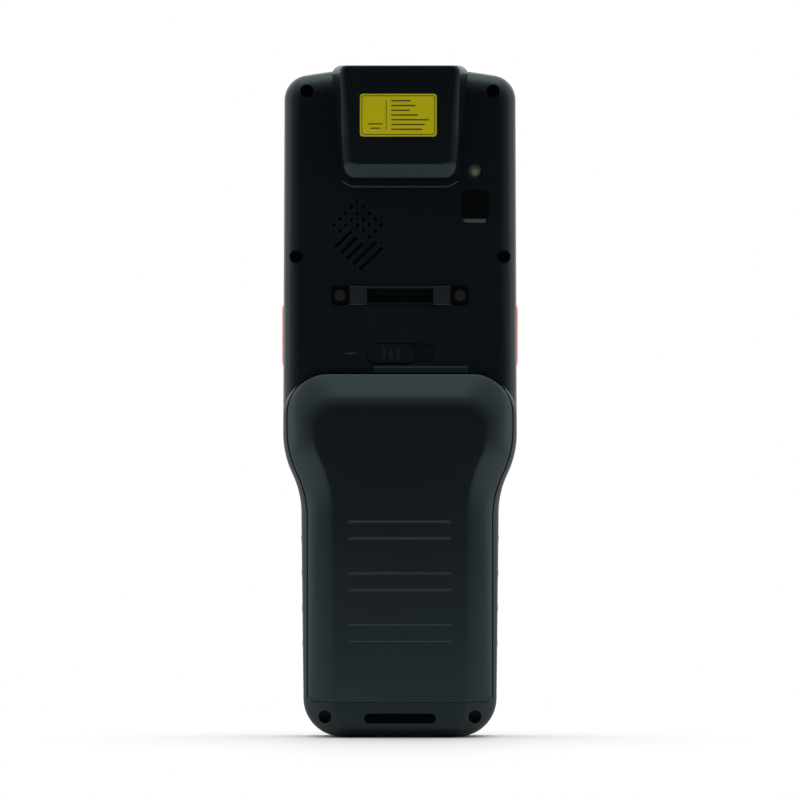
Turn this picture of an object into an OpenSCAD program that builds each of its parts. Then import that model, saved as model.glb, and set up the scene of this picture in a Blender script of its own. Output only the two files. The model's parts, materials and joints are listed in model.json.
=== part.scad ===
// Handheld barcode data terminal, standing on its bottom end.
// X runs across the width, Y from the back (negative) to the keypad side, Z along the length.
// Every piece is drawn where it sits in the assembled terminal, in millimetres.

/* [Body outline] */
// Height of the crowned top edge on the centre line
body_h = 200.7; // [190:0.1:215]
// Half width at the top of the head
head_half_top = 34.65; // [33:0.05:38]
// Half width of the head just above the waist
head_half_low = 35.05; // [34:0.05:38]
// Half width of the grip just below the waist
grip_half_high = 29.6; // [28:0.05:31]
// Half width of the grip at its bottom end
grip_half_low = 29; // [27.5:0.05:31]
// Height at which the waist starts to widen
waist_z0 = 67; // [64:0.5:70]
// Height at which the head reaches its width
waist_z1 = 91; // [88:0.5:94]
// Radius of the two top corners
head_corner_r = 7.5; // [6.8:0.1:9]
// Radius of the crowned top edge
crown_r = 167; // [140:1:220]
// Radius of the two bottom corners
foot_corner_r = 11.5; // [11:0.1:13]
// Half width of the flat that the terminal stands on
foot_flat = 11; // [8:0.5:14]
// Rise of the bottom edge from the flat to the corners
foot_rise = 0.2; // [0.1:0.05:0.5]

/* [Depth] */
// Front housing from the parting plane to the keypad face
front_depth = 11; // [10.8:0.1:12]
// Rear housing from the parting plane to the back face
rear_depth = 13.5; // [13:0.1:15]
// Height of the hood and the battery pack over the back face
crest_rise = 8.5; // [8:0.1:10]
// Height of the keys over the keypad face
key_proud = 1; // [0.6:0.1:1.4]
// Fall of the battery pack towards the bottom end
heel_drop = 2.2; // [1.8:0.1:2.6]

/* [Walls and fits] */
// Side wall of both housings
side_wall = 2; // [1.8:0.1:2.3]
// Back wall of the rear housing
back_wall = 2; // [1.8:0.1:2.2]
// Wall of the keypad face
front_wall = 2.5; // [2.3:0.1:2.8]
// Rounding between the back face and the sides
back_edge_r = 5.5; // [4.5:0.1:6.2]
// Rounding between the keypad face and the sides
front_edge_r = 2.8; // [2:0.1:3.4]
// Open seam round the battery pack
seam = 0.25; // [0.2:0.05:0.35]
// Gap between a moving key and its hole
key_gap = 0.2; // [0.15:0.05:0.3]
// Gap between parts that are laid or pushed together
seat_gap = 0.05; // [0.03:0.01:0.1]
// Clearance of a screw in its hole, on the diameter
screw_fit = 0.1; // [0.05:0.05:0.2]

/* [Scanner hood] */
// Height of the top end of the hood
hood_top = 201.3; // [201.2:0.1:216]
// Length of the hood along the back
hood_len = 33.6; // [31:0.1:36]
// Half width of the hood foot at its top end
hood_foot_half = 20.4; // [19.6:0.1:21]
// Inward lean of the hood from foot to crest
hood_lean = 4.1; // [3.4:0.1:4.6]
// Narrowing of the hood from its top end to its lower corners
hood_taper = 3.3; // [2.6:0.1:3.8]
// Depth of the rounding round the crest of the hood
hood_round = 2.6; // [2.2:0.1:3]
// Wall of the hood
hood_wall = 1.8; // [1.5:0.1:2.1]
// Width of the scan window
scan_w = 27; // [24:0.5:28]
// Depth of the scan window
scan_d = 9.4; // [8:0.1:10]
// Thickness of the scan window
scan_t = 1.2; // [1:0.1:1.4]
// Width of the scan engine
engine_w = 22; // [20:0.5:24]
// Length of the scan engine
engine_l = 14; // [12:0.5:16]
// Width of the label on the hood
label_w = 23; // [20:0.5:24]
// Height of the label on the hood
label_h = 12.8; // [11:0.2:14]
// Thickness of the label
label_t = 0.2; // [0.15:0.05:0.3]

/* [Camera and flash] */
// Distance of the camera and the flash from the centre line
camera_x = 22.5; // [22.3:0.1:23]
// Height of the camera window centre
camera_z = 159.7; // [157:0.1:162]
// Width of the camera window opening
camera_w = 8.1; // [7.5:0.1:8.6]
// Height of the camera window opening
camera_h = 8.6; // [8:0.1:9]
// Height of the flash centre over the camera centre
flash_over = 10; // [9.6:0.1:10.6]
// Diameter of the flash opening
flash_d = 3.8; // [3.4:0.1:4.2]

/* [Speaker] */
// Distance of the speaker from the centre line
speaker_x = 12.7; // [12:0.1:13.5]
// Height of the speaker centre
speaker_z = 150.4; // [149:0.1:152]
// Diameter of the speaker
speaker_d = 20; // [18:0.5:21]
// Spacing of the sound holes
sound_pitch = 2.5; // [2.4:0.05:2.6]
// Diameter of the sound holes and width of the sound slots
sound_d = 1.2; // [1:0.05:1.3]

/* [Strap bracket] */
// Height of the strap bracket centre
strap_z = 132.4; // [131:0.1:133]
// Width of the strap bracket
strap_w = 41; // [40:0.2:42]
// Height of the strap bracket
strap_h = 5.7; // [5.4:0.1:6]
// Width of the window that takes the strap
strap_window_w = 20; // [19:0.2:21]
// Height of the window that takes the strap
strap_window_h = 4.2; // [4.15:0.05:4.4]
// Distance between the two bracket screws
strap_screw_span = 36; // [35:0.2:36.6]
// Height of the bracket over the back face
strap_rise = 0.9; // [0.6:0.1:1.2]

/* [Battery pack] */
// Height of the top seam of the battery pack
pack_top = 108.9; // [108.5:0.1:109.5]
// Radius of the two top corners of the battery pack
pack_corner_r = 12; // [11:0.5:13]
// Rim of the housing outside the pack at the head
rim_high = 1.3; // [1.1:0.05:1.6]
// Rim of the housing outside the pack at the grip
rim_low = 1.9; // [1.6:0.05:2.2]
// Wall of the battery cover
cover_wall = 1.4; // [1.2:0.1:1.6]
// Wall of the battery tray and its bay
tray_wall = 1.2; // [1:0.1:1.4]
// Half width of the battery tray
tray_half = 24; // [23.4:0.1:24.3]
// Height of the hinge line of the battery pack
hinge_z = 12; // [11.8:0.1:12.3]
// Depth of the hinge line below the back of the pack
hinge_in = 3.4; // [3.2:0.1:3.6]
// Radius of the round lower end of the battery pack
knuckle_r = 3.72; // [3.6:0.02:3.85]
// Diameter of the hinge pins
pin_d = 1.8; // [1.6:0.1:1.9]
// Width of each hinge ear
ear_w = 3; // [2.5:0.1:3.5]
// Distance of the hinge ears from the centre line
ear_x = 13.5; // [12:0.1:14.5]

/* [Latch] */
// Height of the latch centre
latch_z = 114.4; // [114.2:0.1:115]
// Width of the latch track
track_w = 21; // [20.6:0.1:22]
// Height of the latch track
track_h = 6.2; // [6:0.1:6.4]
// Depth of the latch track in the back face
track_depth = 1; // [0.9:0.05:1.1]
// Length of the latch knob
knob_w = 14.5; // [14:0.1:15]
// Travel of the latch
latch_travel = 5; // [4.7:0.1:5.3]
// Width of the latch finger and of the lug it blocks
finger_w = 4; // [3.6:0.1:4.2]

/* [Keypad] */
// Spacing of the key columns
key_pitch_x = 16.5; // [16:0.1:16.8]
// Spacing of the key rows
key_pitch_z = 12; // [11.6:0.1:12.4]
// Height of the lowest key row
key_row_z = 18.5; // [17.5:0.1:19.5]
// Width of a number key
key_w = 13; // [12:0.1:13.4]
// Height of a number key
key_h = 8.4; // [8:0.1:8.8]
// Corner radius of the keys
key_r = 2.4; // [1.8:0.1:2.6]
// Travel of every key
key_travel = 0.5; // [0.4:0.05:0.55]
// Lip that keeps a key in its hole
key_lip = 0.8; // [0.6:0.1:0.9]

/* [Side keys] */
// Height of the side scan key centres
side_key_z = 120.3; // [119:0.1:121]
// Length of the side scan keys
side_key_l = 18.5; // [17:0.1:19.5]
// Width of the side scan keys
side_key_w = 6.4; // [5.8:0.1:6.8]
// Height of the side scan keys over the sides
side_key_proud = 0.37; // [0.3:0.01:0.6]

/* [Display] */
// Half width of the display window
window_half = 30.4; // [29.4:0.1:30.8]
// Height of the lower edge of the display window
window_z0 = 92.6; // [92:0.1:94]
// Border of the keypad face over the display window
window_over = 10.1; // [9.5:0.1:11]
// Thickness of the display window
window_t = 1; // [0.9:0.05:1.1]
// Thickness of the display module
module_t = 2.5; // [2.3:0.1:2.6]
// Border of the window outside the display module
module_border = 3; // [2.7:0.1:3.4]

/* [Boards] */
// Thickness of the circuit boards
board_t = 1.2; // [1:0.1:1.4]
// Thickness of the midframe
midframe_t = 1.2; // [1:0.1:1.3]
// Half width of the main board and the midframe
deck_half = 27.8; // [26:0.1:28.2]

/* [Screws] */
// Diameter of the housing screws
screw_d = 2; // [1.8:0.1:2.2]
// Diameter of the screw heads
screw_head_d = 3.5; // [3.2:0.1:3.6]
// Diameter of the deep holes over the screw heads
counterbore_d = 3.9; // [3.8:0.1:4.2]
// Diameter of the screw bosses
boss_d = 5.4; // [5.2:0.1:5.8]
// Diameter of the strap bracket screws
small_screw_d = 1.6; // [1.4:0.1:1.8]

/* [Side grips] */
// Number of ridges on each side grip
ridge_count = 4; // [3:1:4]
// Spacing of the grip ridges
ridge_pitch = 10.5; // [10:0.1:10.8]
// Height of the lowest ridge
ridge_z = 27.9; // [27:0.1:29]
// Height of the ridges over the side
ridge_proud = 0.15; // [0.1:0.05:0.25]
// Thickness of the rubber grips
grip_t = 0.9; // [0.8:0.05:1.1]

/* [Bottom slot] */
// Width of the lanyard slot
slot_w = 21.4; // [18:0.2:23]
// Height of the lanyard slot
slot_h = 3; // [2.6:0.1:3.1]
// Depth of the lanyard slot
slot_depth = 7; // [6.4:0.1:7.2]
// Thickness of the exit at the bottom end
slot_exit_t = 2.4; // [2:0.1:2.8]
// Height of the slot centre
slot_z = 5.8; // [5.6:0.1:5.9]

/* [Hidden] */
$fn = 48;
ARC_STEPS = 5;
WAIST_STEPS = 4;
EDGE_STEPS = 4;
BULGE_STEPS = 7;
BULGE_SHAPE = 5 / 3;
HOOD_STEPS = [1, 0.56, 0.23, 0.08, 0];
HOOD_DRAFT = 0.27;
HOOD_SIDE_SHAPE = 0.45;
HOOD_END_SHAPE = 0.85;

depth = front_depth + rear_depth + crest_rise + key_proud;
face_y = depth / 2 - key_proud;
parting_y = face_y - front_depth;
back_y = parting_y - rear_depth;
crest_y = back_y - crest_rise;
edge_y = back_y + back_edge_r;
inner_back_y = back_y + back_wall;
inner_face_y = face_y - front_wall;

corner_cx = head_half_top - head_corner_r;
crown_cz = body_h - crown_r;
corner_cz = crown_cz + sqrt(pow(crown_r - head_corner_r, 2) - pow(corner_cx, 2));
corner_turn = atan2(corner_cz - crown_cz, corner_cx);
foot_cx = grip_half_low - foot_corner_r;
foot_cz = foot_corner_r + foot_rise;
top_fall = 1.2;

bulge_run = 8.6;
bulge_top_fall = 1.2;
bulge_foot_fall = 0.35;
bulge_top = pack_top + seam;
bulge_corner_r = pack_corner_r + 1;
bulge_skin = 0.05;
bulge_y = back_y + 0.3;

pack_half_high = head_half_low - rim_high;
pack_half_low = grip_half_high - rim_low;
pack_z0 = waist_z0 - 1;
pack_z1 = waist_z1 + 1;
pack_rim_y = back_y + 2.1;
ledge_y = pack_rim_y + 1.2;
flange_inset = 0.6;
bay_floor_y = parting_y - tray_wall;
tray_face_y = bay_floor_y - 0.2;
tray_z0 = hinge_z - 0.7;
tray_top = pack_top - 3.9;
lug_h = 2;
bay_top = tray_top + lug_h + 1;
bay_z0 = tray_z0 - 0.3;
heel_y = crest_y + heel_drop * (1 - hinge_z / (pack_top - bulge_run));
hinge_y = heel_y + hinge_in;
knuckle_half = 20;
cone_mid_half = 23;
cone_mid_r = 2.1;
cone_end_half = 25.6;
cone_end_r = 0.3;
ear_r = 1.85;
ear_gap = 0.2;
cheek_w = 1.2;
pin_fit = 0.1;

seat_y = edge_y + 1.5;
screw_head_t = 1.3;
screw_end_y = inner_face_y - 2.5;
screw_end_gap = 0.4;
top_screw = [corner_cx + 0.75, corner_cz + 2.8];
mid_screw_z = strap_z + 11.6;
mid_screw = [head_side(mid_screw_z) - 3.74, mid_screw_z];
foot_screw = [foot_cx + 4.95, foot_cz - 5.4];
SCREWS = [top_screw, mid_screw, foot_screw];

recess_y = face_y - 0.2 - window_t - 0.2;
module_y = recess_y - module_t;
midframe_y = module_y - seat_gap - midframe_t;
board_y = midframe_y - 1.6 - board_t;
keypad_y = inner_face_y - 1.6;
dome_t = 0.25;
key_base_y = inner_face_y - seat_gap - 0.5;
dome_y = key_base_y - key_travel - 0.1;
keypad_board_y = keypad_y - dome_t - 0.15 - board_t;
usb_w = 9;
usb_t = 3.2;
usb_depth = 5.5;
usb_y = keypad_board_y - usb_t / 2 - seat_gap;

latch_x = 0.4;
knob_x0 = latch_x - (track_w - 0.3) / 2;
finger_x0 = knob_x0 + 4;
lug_x0 = finger_x0 + latch_travel;
slide_gap = 0.3;
finger_t = 2;
finger_y0 = inner_back_y + 2.1;
lug_y0 = finger_y0 + finger_t + slide_gap;
latch_slot_x = [finger_x0 - slide_gap, finger_x0 + finger_w + latch_travel + slide_gap];

side_key_y = (edge_y + parting_y) / 2 - 0.6;
side_flange_t = 1;
side_key_x = head_side(side_key_z) + side_key_proud;
side_flange_x = head_side(side_key_z) - side_wall - 0.25;
side_switch_x = side_flange_x - side_flange_t - key_travel - 0.1;
side_rib_t = 1.2;

contact_pitch = 4;
contact_d = 1.2;
contact_z = tray_top - 7;
contact_places = [-1.5:1:1.5];
pad_w = 2.4;
pad_h = 5;

grip_bar_z = 31.2;
grip_bar_pitch = 15.5;
grip_bar_w = 30.8;
grip_bar_h = 5;

seal_in = 0.7;
seal_w = 0.7;
seal_t = 0.2;
mesh_t = 0.2;
cell_t = 7.2;
tab_t = 1.1;
scan_y = crest_y + hood_wall + scan_d / 2 + 0.6;
label_x = -0.5;
label_z = hood_top - 14.9;
label_r = 0.9;
flash_z = camera_z + flash_over;

window_r = 3;
window_h = body_h - window_over - window_z0;
window_z = window_z0 + window_h / 2;
main_z0 = window_z0 + 2;
module_half = window_half - module_border;
module_l = window_h - 2 * module_border;
ear_slot_z = body_h - window_over + 3.6;
earpiece_w = 15;
lens_x = 12;
lens_d = 2.6;
post_d = 1.6;
pad_half = key_pitch_x + key_w / 2 + 1.8;
pad_l = 6.2 * key_pitch_z + 1.6;
pad_z = key_row_z + 2.6 * key_pitch_z;

grip_y0 = parting_y + 1.6;
grip_y1 = face_y - front_edge_r - 0.8;
ridge_len = 4.2;

soft_z = key_row_z + 5.3 * key_pitch_z;
scan_row_z = key_row_z + 4.15 * key_pitch_z;
// Columns run from +X to -X, which is left to right for the user who looks at the keypad
DIGITS = [["key_1", 1, 3], ["key_2", 0, 3], ["key_3", -1, 3], ["key_4", 1, 2], ["key_5", 0, 2],
    ["key_6", -1, 2], ["key_7", 1, 1], ["key_8", 0, 1], ["key_9", -1, 1], ["key_star", 1, 0],
    ["key_0", 0, 0], ["key_hash", -1, 0]];
// Each key: name, centre x, centre z, width, height, colour
KEYS = concat(
    [for (d = DIGITS) [d[0], d[1] * key_pitch_x, key_row_z + d[2] * key_pitch_z, key_w, key_h, "#3c4146"]],
    [["key_escape", key_pitch_x + 0.8, scan_row_z, key_w - 2, key_h, "#5a6066"],
     ["key_scan", 0, scan_row_z, key_w + 5, key_h + 1.4, "#e0641e"],
     ["key_enter", -key_pitch_x - 0.8, scan_row_z, key_w - 2, key_h, "#5a6066"],
     ["key_soft_left", key_pitch_x, soft_z, key_w - 1, key_h - 2.4, "#3c4146"],
     ["key_power", 0, soft_z, key_w - 3, key_h - 2.4, "#a02c24"],
     ["key_soft_right", -key_pitch_x, soft_z, key_w - 1, key_h - 2.4, "#3c4146"]]);

// ---- Outlines -------------------------------------------------------------------------------

function ellipse_arc(c, rx, rz, a0, a1, n) =
    [for (i = [0:n]) let (a = a0 + (a1 - a0) * i / n) [c[0] + rx * cos(a), c[1] + rz * sin(a)]];

// Two equal arcs that lead from one half width to a larger one, drawn in by d
function waist(low, high, z0, z1, d) =
    let (turn = 2 * atan((high - low) / (z1 - z0)), r = (z1 - z0) / (2 * sin(turn)))
    concat(
        ellipse_arc([low + r, z0], r + d, r + d, 180, 180 - turn, WAIST_STEPS),
        [for (i = [1:WAIST_STEPS]) let (a = turn * (i / WAIST_STEPS - 1))
            [high - r + (r - d) * cos(a), z1 + (r - d) * sin(a)]]);

function mirrored(half) =
    concat(half, [for (i = [len(half) - 1:-1:0]) [-half[i][0], half[i][1]]]);

function foot_points(side, foot) =
    concat([[foot_flat, foot]],
        ellipse_arc([foot_cx, foot_cz], foot_corner_r - side, foot_corner_r - foot, -90, 0, ARC_STEPS + 1));

// Half width of the head at height z, between the waist and the top corners
function head_side(z) =
    head_half_low + (head_half_top - head_half_low) * (z - waist_z1) / (corner_cz - waist_z1);

function body_waist(d) = waist(grip_half_high, head_half_low, waist_z0, waist_z1, d);

// Outline of the whole body, drawn in by one amount at the sides and others at the two ends
function body_outline(side, top, foot) = mirrored(concat(
    foot_points(side, foot),
    body_waist(side),
    ellipse_arc([corner_cx, corner_cz], head_corner_r - side, head_corner_r - top, 0, corner_turn,
        ARC_STEPS),
    [for (i = [1:2]) let (a = corner_turn + (90 - corner_turn) * i / 3)
        [(crown_r - top) * cos(a), crown_cz + (crown_r - top) * sin(a)]]));

function bulge_outline(side, top, foot) = mirrored(concat(
    foot_points(side, foot),
    body_waist(side),
    ellipse_arc([head_half_low - bulge_corner_r, bulge_top - bulge_corner_r],
        bulge_corner_r - side, bulge_corner_r - top, 0, 90, ARC_STEPS)));

function pack_outline(d) = mirrored(concat(
    [[pack_half_low - d, hinge_z]],
    waist(pack_half_low, pack_half_high, pack_z0, pack_z1, d),
    ellipse_arc([pack_half_high - pack_corner_r, pack_top - pack_corner_r],
        pack_corner_r - d, pack_corner_r - d, 0, 90, ARC_STEPS + 1)));

// Foot of the hood at 0 and its crest at 1, for its sides and for its lower end, drawn in by d
function hood_outline(side, end, d) =
    let (w = hood_foot_half - hood_lean * side - d, low = hood_top - hood_len + 3.7 * end + d,
        top = hood_top - d, chamfer = 1.8 - 0.7 * side)
    mirrored([[w - hood_taper - 2.3 * (1 - side), low], [w - hood_taper + side, low + 3.5 - 2.3 * end],
        [w - 1.9, low + 10.8 - 4.2 * side], [w, top - chamfer], [w - chamfer, top]]);

// ---- Solids from outlines -------------------------------------------------------------------

function level(outline, y) = [for (p = outline) [p[0], y, p[1]]];

// Closed solid through rings of equal length, the first ring nearest to the keypad side.
// Each ring is mirrored about X = 0, so its end faces are strips between the two halves.
module loft(rings) {
    n = len(rings[0]);
    last = (len(rings) - 1) * n;
    polyhedron(
        points = [for (r = rings) each r],
        faces = concat(
            [for (i = [0:n / 2 - 2]) let (j = n - 1 - i)
                each [[i, i + 1, j - 1], [i, j - 1, j], [last + i, last + j - 1, last + i + 1],
                    [last + i, last + j, last + j - 1]]],
            [for (k = [0:len(rings) - 2], i = [0:n - 1])
                let (j = (i + 1) % n, a = k * n, b = a + n)
                each [[a + i, b + i, a + j], [a + j, b + i, b + j]]]));
}

module along_y(y0, y1)
    translate([0, y1, 0]) rotate([90, 0, 0]) linear_extrude(y1 - y0) children();

module along_x(x0, x1)
    translate([x0, 0, 0]) rotate([90, 0, 90]) linear_extrude(x1 - x0) children();

module rod_y(x, z, d, y0, y1)
    translate([x, y1, z]) rotate([90, 0, 0]) cylinder(d = d, h = y1 - y0);

module rod_x(y, z, d, x0, x1)
    translate([x0, y, z]) rotate([0, 90, 0]) cylinder(d = d, h = x1 - x0);

module block(x, y, z)
    translate([x[0], y[0], z[0]]) cube([x[1] - x[0], y[1] - y[0], z[1] - z[0]]);

module round_rect(w, h, r) {
    if (h > 2 * r) square([w, h - 2 * r], center = true);
    if (w > 2 * r) square([w - 2 * r, h], center = true);
    for (x = [-1, 1], z = [-1, 1]) translate([x * (w / 2 - r), z * (h / 2 - r)]) circle(r);
}

module plate(x, z, w, h, r, y0, y1)
    along_y(y0, y1) translate([x, z]) round_rect(w, h, r);

module both_sides() {
    children();
    mirror([1, 0, 0]) children();
}

// ---- Shapes shared by several pieces ---------------------------------------------------------

// Rear half of the body, with its wall taken off when inner is set
module rear_body(inner) {
    d = inner ? side_wall : 0;
    r = inner ? back_edge_r - back_wall : back_edge_r;
    loft(concat(
        [level(body_outline(d, d, d), parting_y + (inner ? 1 : 0))],
        [for (i = [0:EDGE_STEPS]) let (a = 90 * i / EDGE_STEPS, in = (back_edge_r - d) * (1 - cos(a)))
            level(body_outline(d + in, d + in * top_fall, d + in * top_fall), edge_y - r * sin(a))]));
}

// The hand grip that the battery pack and the bottom end form together
module bulge(skin) {
    span = bulge_y - crest_y - skin;
    side = bulge_skin + skin;
    loft(concat(
        [for (y = [edge_y + 1, bulge_y]) level(bulge_outline(side, side, side), y)],
        [for (i = [1:BULGE_STEPS]) let (a = 90 * i / BULGE_STEPS,
                in = bulge_run * (1 - pow(cos(a), BULGE_SHAPE)) + bulge_skin,
                rise = pow(sin(a), BULGE_SHAPE))
            [for (p = bulge_outline(in + skin, in * bulge_top_fall + skin, in * bulge_foot_fall + skin))
                [p[0], bulge_y - rise * (span - heel_drop * (1 - p[1] / (pack_top - bulge_run))), p[1]]]]));
}

// Round lower end of the battery pack, g larger all round
module knuckle(g) {
    rod_x(hinge_y, hinge_z, 2 * (knuckle_r + g), -knuckle_half - g, knuckle_half + g);
    both_sides() translate([knuckle_half + g, hinge_y, hinge_z]) rotate([0, 90, 0]) {
        cylinder(r1 = knuckle_r + g, r2 = cone_mid_r + g, h = cone_mid_half - knuckle_half);
        translate([0, 0, cone_mid_half - knuckle_half])
            cylinder(r1 = cone_mid_r + g, r2 = cone_end_r + g, h = cone_end_half - cone_mid_half);
    }
}

// Room that the pack takes behind the plane y1, g larger all round
module pack_room(g, y1) {
    along_y(crest_y - 1, y1) polygon(pack_outline(-g));
    knuckle(g);
    block([-tray_half - g, tray_half + g], [hinge_y, y1], [tray_z0 - g, hinge_z + 1]);
}

// Steep walls up to a rounding round its crest
module hood(d, top) {
    intersection() {
        loft(concat(
            [for (y = [edge_y + 1.5, back_y]) level(hood_outline(0, 0, d), y)],
            [for (left = HOOD_STEPS)
                level(hood_outline(1 - (1 - HOOD_DRAFT) * pow(left, HOOD_SIDE_SHAPE),
                    1 - pow(left, HOOD_END_SHAPE), d), crest_y + d + left * hood_round)]));
        block([-hood_foot_half, hood_foot_half], [crest_y, edge_y + 2], [hood_top - hood_len - 1, top]);
    }
}

// ---- Rear housing ----------------------------------------------------------------------------

module chamfered(w, h, c)
    polygon(mirrored([[w / 2 - c, -h / 2], [w / 2, -h / 2 + c], [w / 2, h / 2 - c], [w / 2 - c, h / 2]]));

module camera_pad() {
    pad = 0.2;
    along_y(back_y - pad, back_y + 0.5)
        translate([camera_x + 0.7, camera_z]) chamfered(12.8, 12.2, 2.4);
}

// Shallow recess that frames the foot of the hood
module hood_apron() {
    recess = 0.3;
    along_y(back_y - 1, back_y + recess) polygon(mirrored([
        [hood_foot_half - 5.8, hood_top - hood_len - 2.9],
        [hood_foot_half - 3.1, hood_top - hood_len - 1.4],
        [hood_foot_half - 3.2, hood_top - hood_len + 6]]));
}

module camera_opening() {
    lip = 0.7;
    plate(camera_x, camera_z, camera_w, camera_h, 0.8, back_y - 1, inner_back_y + 1);
    plate(camera_x, camera_z, camera_w + 1.2, camera_h + 1.2, 0.8, back_y + 0.9, inner_back_y + 1);
    translate([camera_x, 0, camera_z]) loft([
        level(mirrored([[camera_w / 2 - 1, -camera_h / 2], [camera_w / 2, -camera_h / 2 + 1],
            [camera_w / 2, camera_h / 2 - 1], [camera_w / 2 - 1, camera_h / 2]]), back_y + 0.6),
        level(mirrored([[camera_w / 2 - 1 + lip, -camera_h / 2 - 1.5 * lip],
            [camera_w / 2 + 1.5 * lip, -camera_h / 2 + 1 - lip],
            [camera_w / 2 + 1.5 * lip, camera_h / 2 - 1 + lip],
            [camera_w / 2 - 1 + lip, camera_h / 2 + 1.5 * lip]]), back_y - 0.5)]);
}

// Rows of dots and slots that run down to the left, row by row to the right
module sound_holes() {
    start = [-speaker_x, speaker_z + 10.2];
    rows = [[0, 1, 2, 3, 4], [0, 1, 2, 3, 4], [0, 1, 2], [0, 1, 2], [0, 1, 2], [], []];
    slots = [[], [], [7.6, 14.5], [7.6, 14.5], [7.6, 14.5], [4.4, 14.3], [4.4, 14.3]];
    along_y(back_y - 1, inner_back_y + 0.5) translate(start) rotate(-45) for (v = [0:6]) {
        for (u = rows[v]) translate([v * sound_pitch, -u * sound_pitch]) circle(d = sound_d, $fn = 16);
        if (len(slots[v]) > 0) translate([v * sound_pitch - sound_d / 2, -slots[v][1]])
            square([sound_d, slots[v][1] - slots[v][0]]);
    }
}

module strap_pocket() {
    plate(0, strap_z, strap_w + 2 * seat_gap, strap_h + 2 * seat_gap, 1.2, back_y - 1, back_y + 1);
    plate(0, strap_z, strap_window_w + 1, strap_h, 0.8, back_y - 1, back_y + 4.9);
}

module latch_track() {
    plate(latch_x, latch_z, track_w, track_h, track_h / 2, back_y - 1, back_y + track_depth);
    block(latch_slot_x, [back_y, inner_back_y + 1], [latch_z - 1.5, latch_z + 1.5]);
}

module screw_holes() {
    both_sides() for (s = SCREWS) {
        rod_y(s[0], s[1], counterbore_d, crest_y - 1, seat_y);
        rod_y(s[0], s[1], screw_d + screw_fit, seat_y - 1, parting_y + 1);
    }
}

module strap_screw_bosses(d, y1)
    both_sides() rod_y(strap_screw_span / 2, strap_z, d, back_y + 0.5, y1);

module side_key_outline(g)
    translate([side_key_y, side_key_z])
        round_rect(side_key_w + 2 * g, side_key_l + 2 * g, side_key_w / 2 - 0.4 + g);

module lanyard_slot() {
    deep_y = heel_y + slot_depth;
    plate(0, slot_z, slot_w, slot_h, slot_h / 2, crest_y - 1, deep_y);
    block([-slot_w / 2 + slot_h / 2, slot_w / 2 - slot_h / 2], [deep_y - slot_exit_t, deep_y],
        [-1, slot_z]);
}

module rear_cavity() {
    tub_half = tray_half + seam + tray_wall;
    difference() {
        rear_body(true);
        block([-tub_half, tub_half], [crest_y, parting_y + 2],
            [bay_z0 - tray_wall, pack_top + seam + tray_wall]);
        both_sides() for (s = SCREWS) rod_y(s[0], s[1], boss_d, crest_y, parting_y + 2);
        strap_screw_bosses(4.2, inner_back_y + 3.5);
        plate(0, strap_z, strap_window_w + 3.2, strap_h + 2.2, 1, crest_y, back_y + 6);
        difference() {
            rod_y(-speaker_x, speaker_z, speaker_d + 2.6, crest_y, inner_back_y + 3);
            rod_y(-speaker_x, speaker_z, speaker_d + 0.4, crest_y, inner_back_y + 4);
        }
        difference() {
            plate(camera_x, camera_z, camera_w + 3.4, camera_h + 3.4, 1, crest_y, inner_back_y + 4);
            plate(camera_x, camera_z, camera_w + 0.6, camera_h + 0.6, 0.8, crest_y, inner_back_y + 5);
        }
        both_sides() block([side_switch_x - 2.5 - side_rib_t, side_switch_x - 2.5],
            [crest_y, side_key_y + 3], [side_key_z - 6, side_key_z + 6]);
    }
}

module hinge_ears() {
    arm_w = 2;
    arm_l = 6.2;
    both_sides() translate([0, hinge_y, hinge_z]) along_x(ear_x - ear_w / 2,
        ear_x + ear_w / 2) difference() {
        union() {
            circle(ear_r);
            rotate(-62) translate([ear_r - 0.6, -0.3]) square([arm_l - ear_r + 0.6, arm_w]);
        }
        circle(d = pin_d + pin_fit);
    }
}

module rear_housing() color("#22282e") {
    difference() {
        union() {
            difference() {
                rear_body(false);
                hood_apron();
            }
            bulge(0);
            hood(0, hood_top);
            camera_pad();
        }
        difference() {
            rear_cavity();
            hood(0, hood_top);
        }
        hood(hood_wall, hood_top - hood_wall);
        scan_opening();
        pack_room(seam, ledge_y);
        block([-tray_half - seam, tray_half + seam], [hinge_y, bay_floor_y], [bay_z0, bay_top]);
        for (i = contact_places)
            rod_y(i * contact_pitch, contact_z, contact_d + slide_gap, bay_floor_y - 1, parting_y + 1);
        block(latch_slot_x, [finger_y0 - slide_gap, finger_y0 + finger_t + slide_gap],
            [bay_top - 1, pack_top + 6]);
        label_pocket();
        camera_opening();
        rod_y(camera_x, flash_z, flash_d, back_y - 1, inner_back_y + 0.5);
        sound_holes();
        strap_pocket();
        strap_screw_bosses(small_screw_d + screw_fit, inner_back_y + 3);
        latch_track();
        screw_holes();
        both_sides() along_x(side_flange_x - 0.25, side_key_x + 1) side_key_outline(key_gap);
        lanyard_slot();
        seal_groove();
    }
    hinge_ears();
}

module scan_opening() {
    block([-scan_w / 2 + 1, scan_w / 2 - 1], [scan_y - scan_d / 2 + 1, scan_y + scan_d / 2 - 1],
        [hood_top - 3, hood_top + 1]);
    block([-scan_w / 2 - seat_gap, scan_w / 2 + seat_gap],
        [scan_y - scan_d / 2 - seat_gap, scan_y + scan_d / 2 + seat_gap],
            [hood_top - scan_t, hood_top + 1]);
}

module label_pocket()
    plate(label_x, label_z, label_w + 2 * seat_gap, label_h + 2 * seat_gap, label_r,
        crest_y - 1, crest_y + label_t);

module seal_ring(g) difference() {
    polygon(body_outline(seal_in - g, seal_in - g, seal_in - g));
    polygon(body_outline(seal_in + seal_w + g, seal_in + seal_w + g, seal_in + seal_w + g));
}

module seal_groove()
    along_y(parting_y - seal_w / 2 - seat_gap, parting_y + seal_w / 2 + seat_gap) seal_ring(seat_gap);

// ---- Front housing ---------------------------------------------------------------------------

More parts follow.
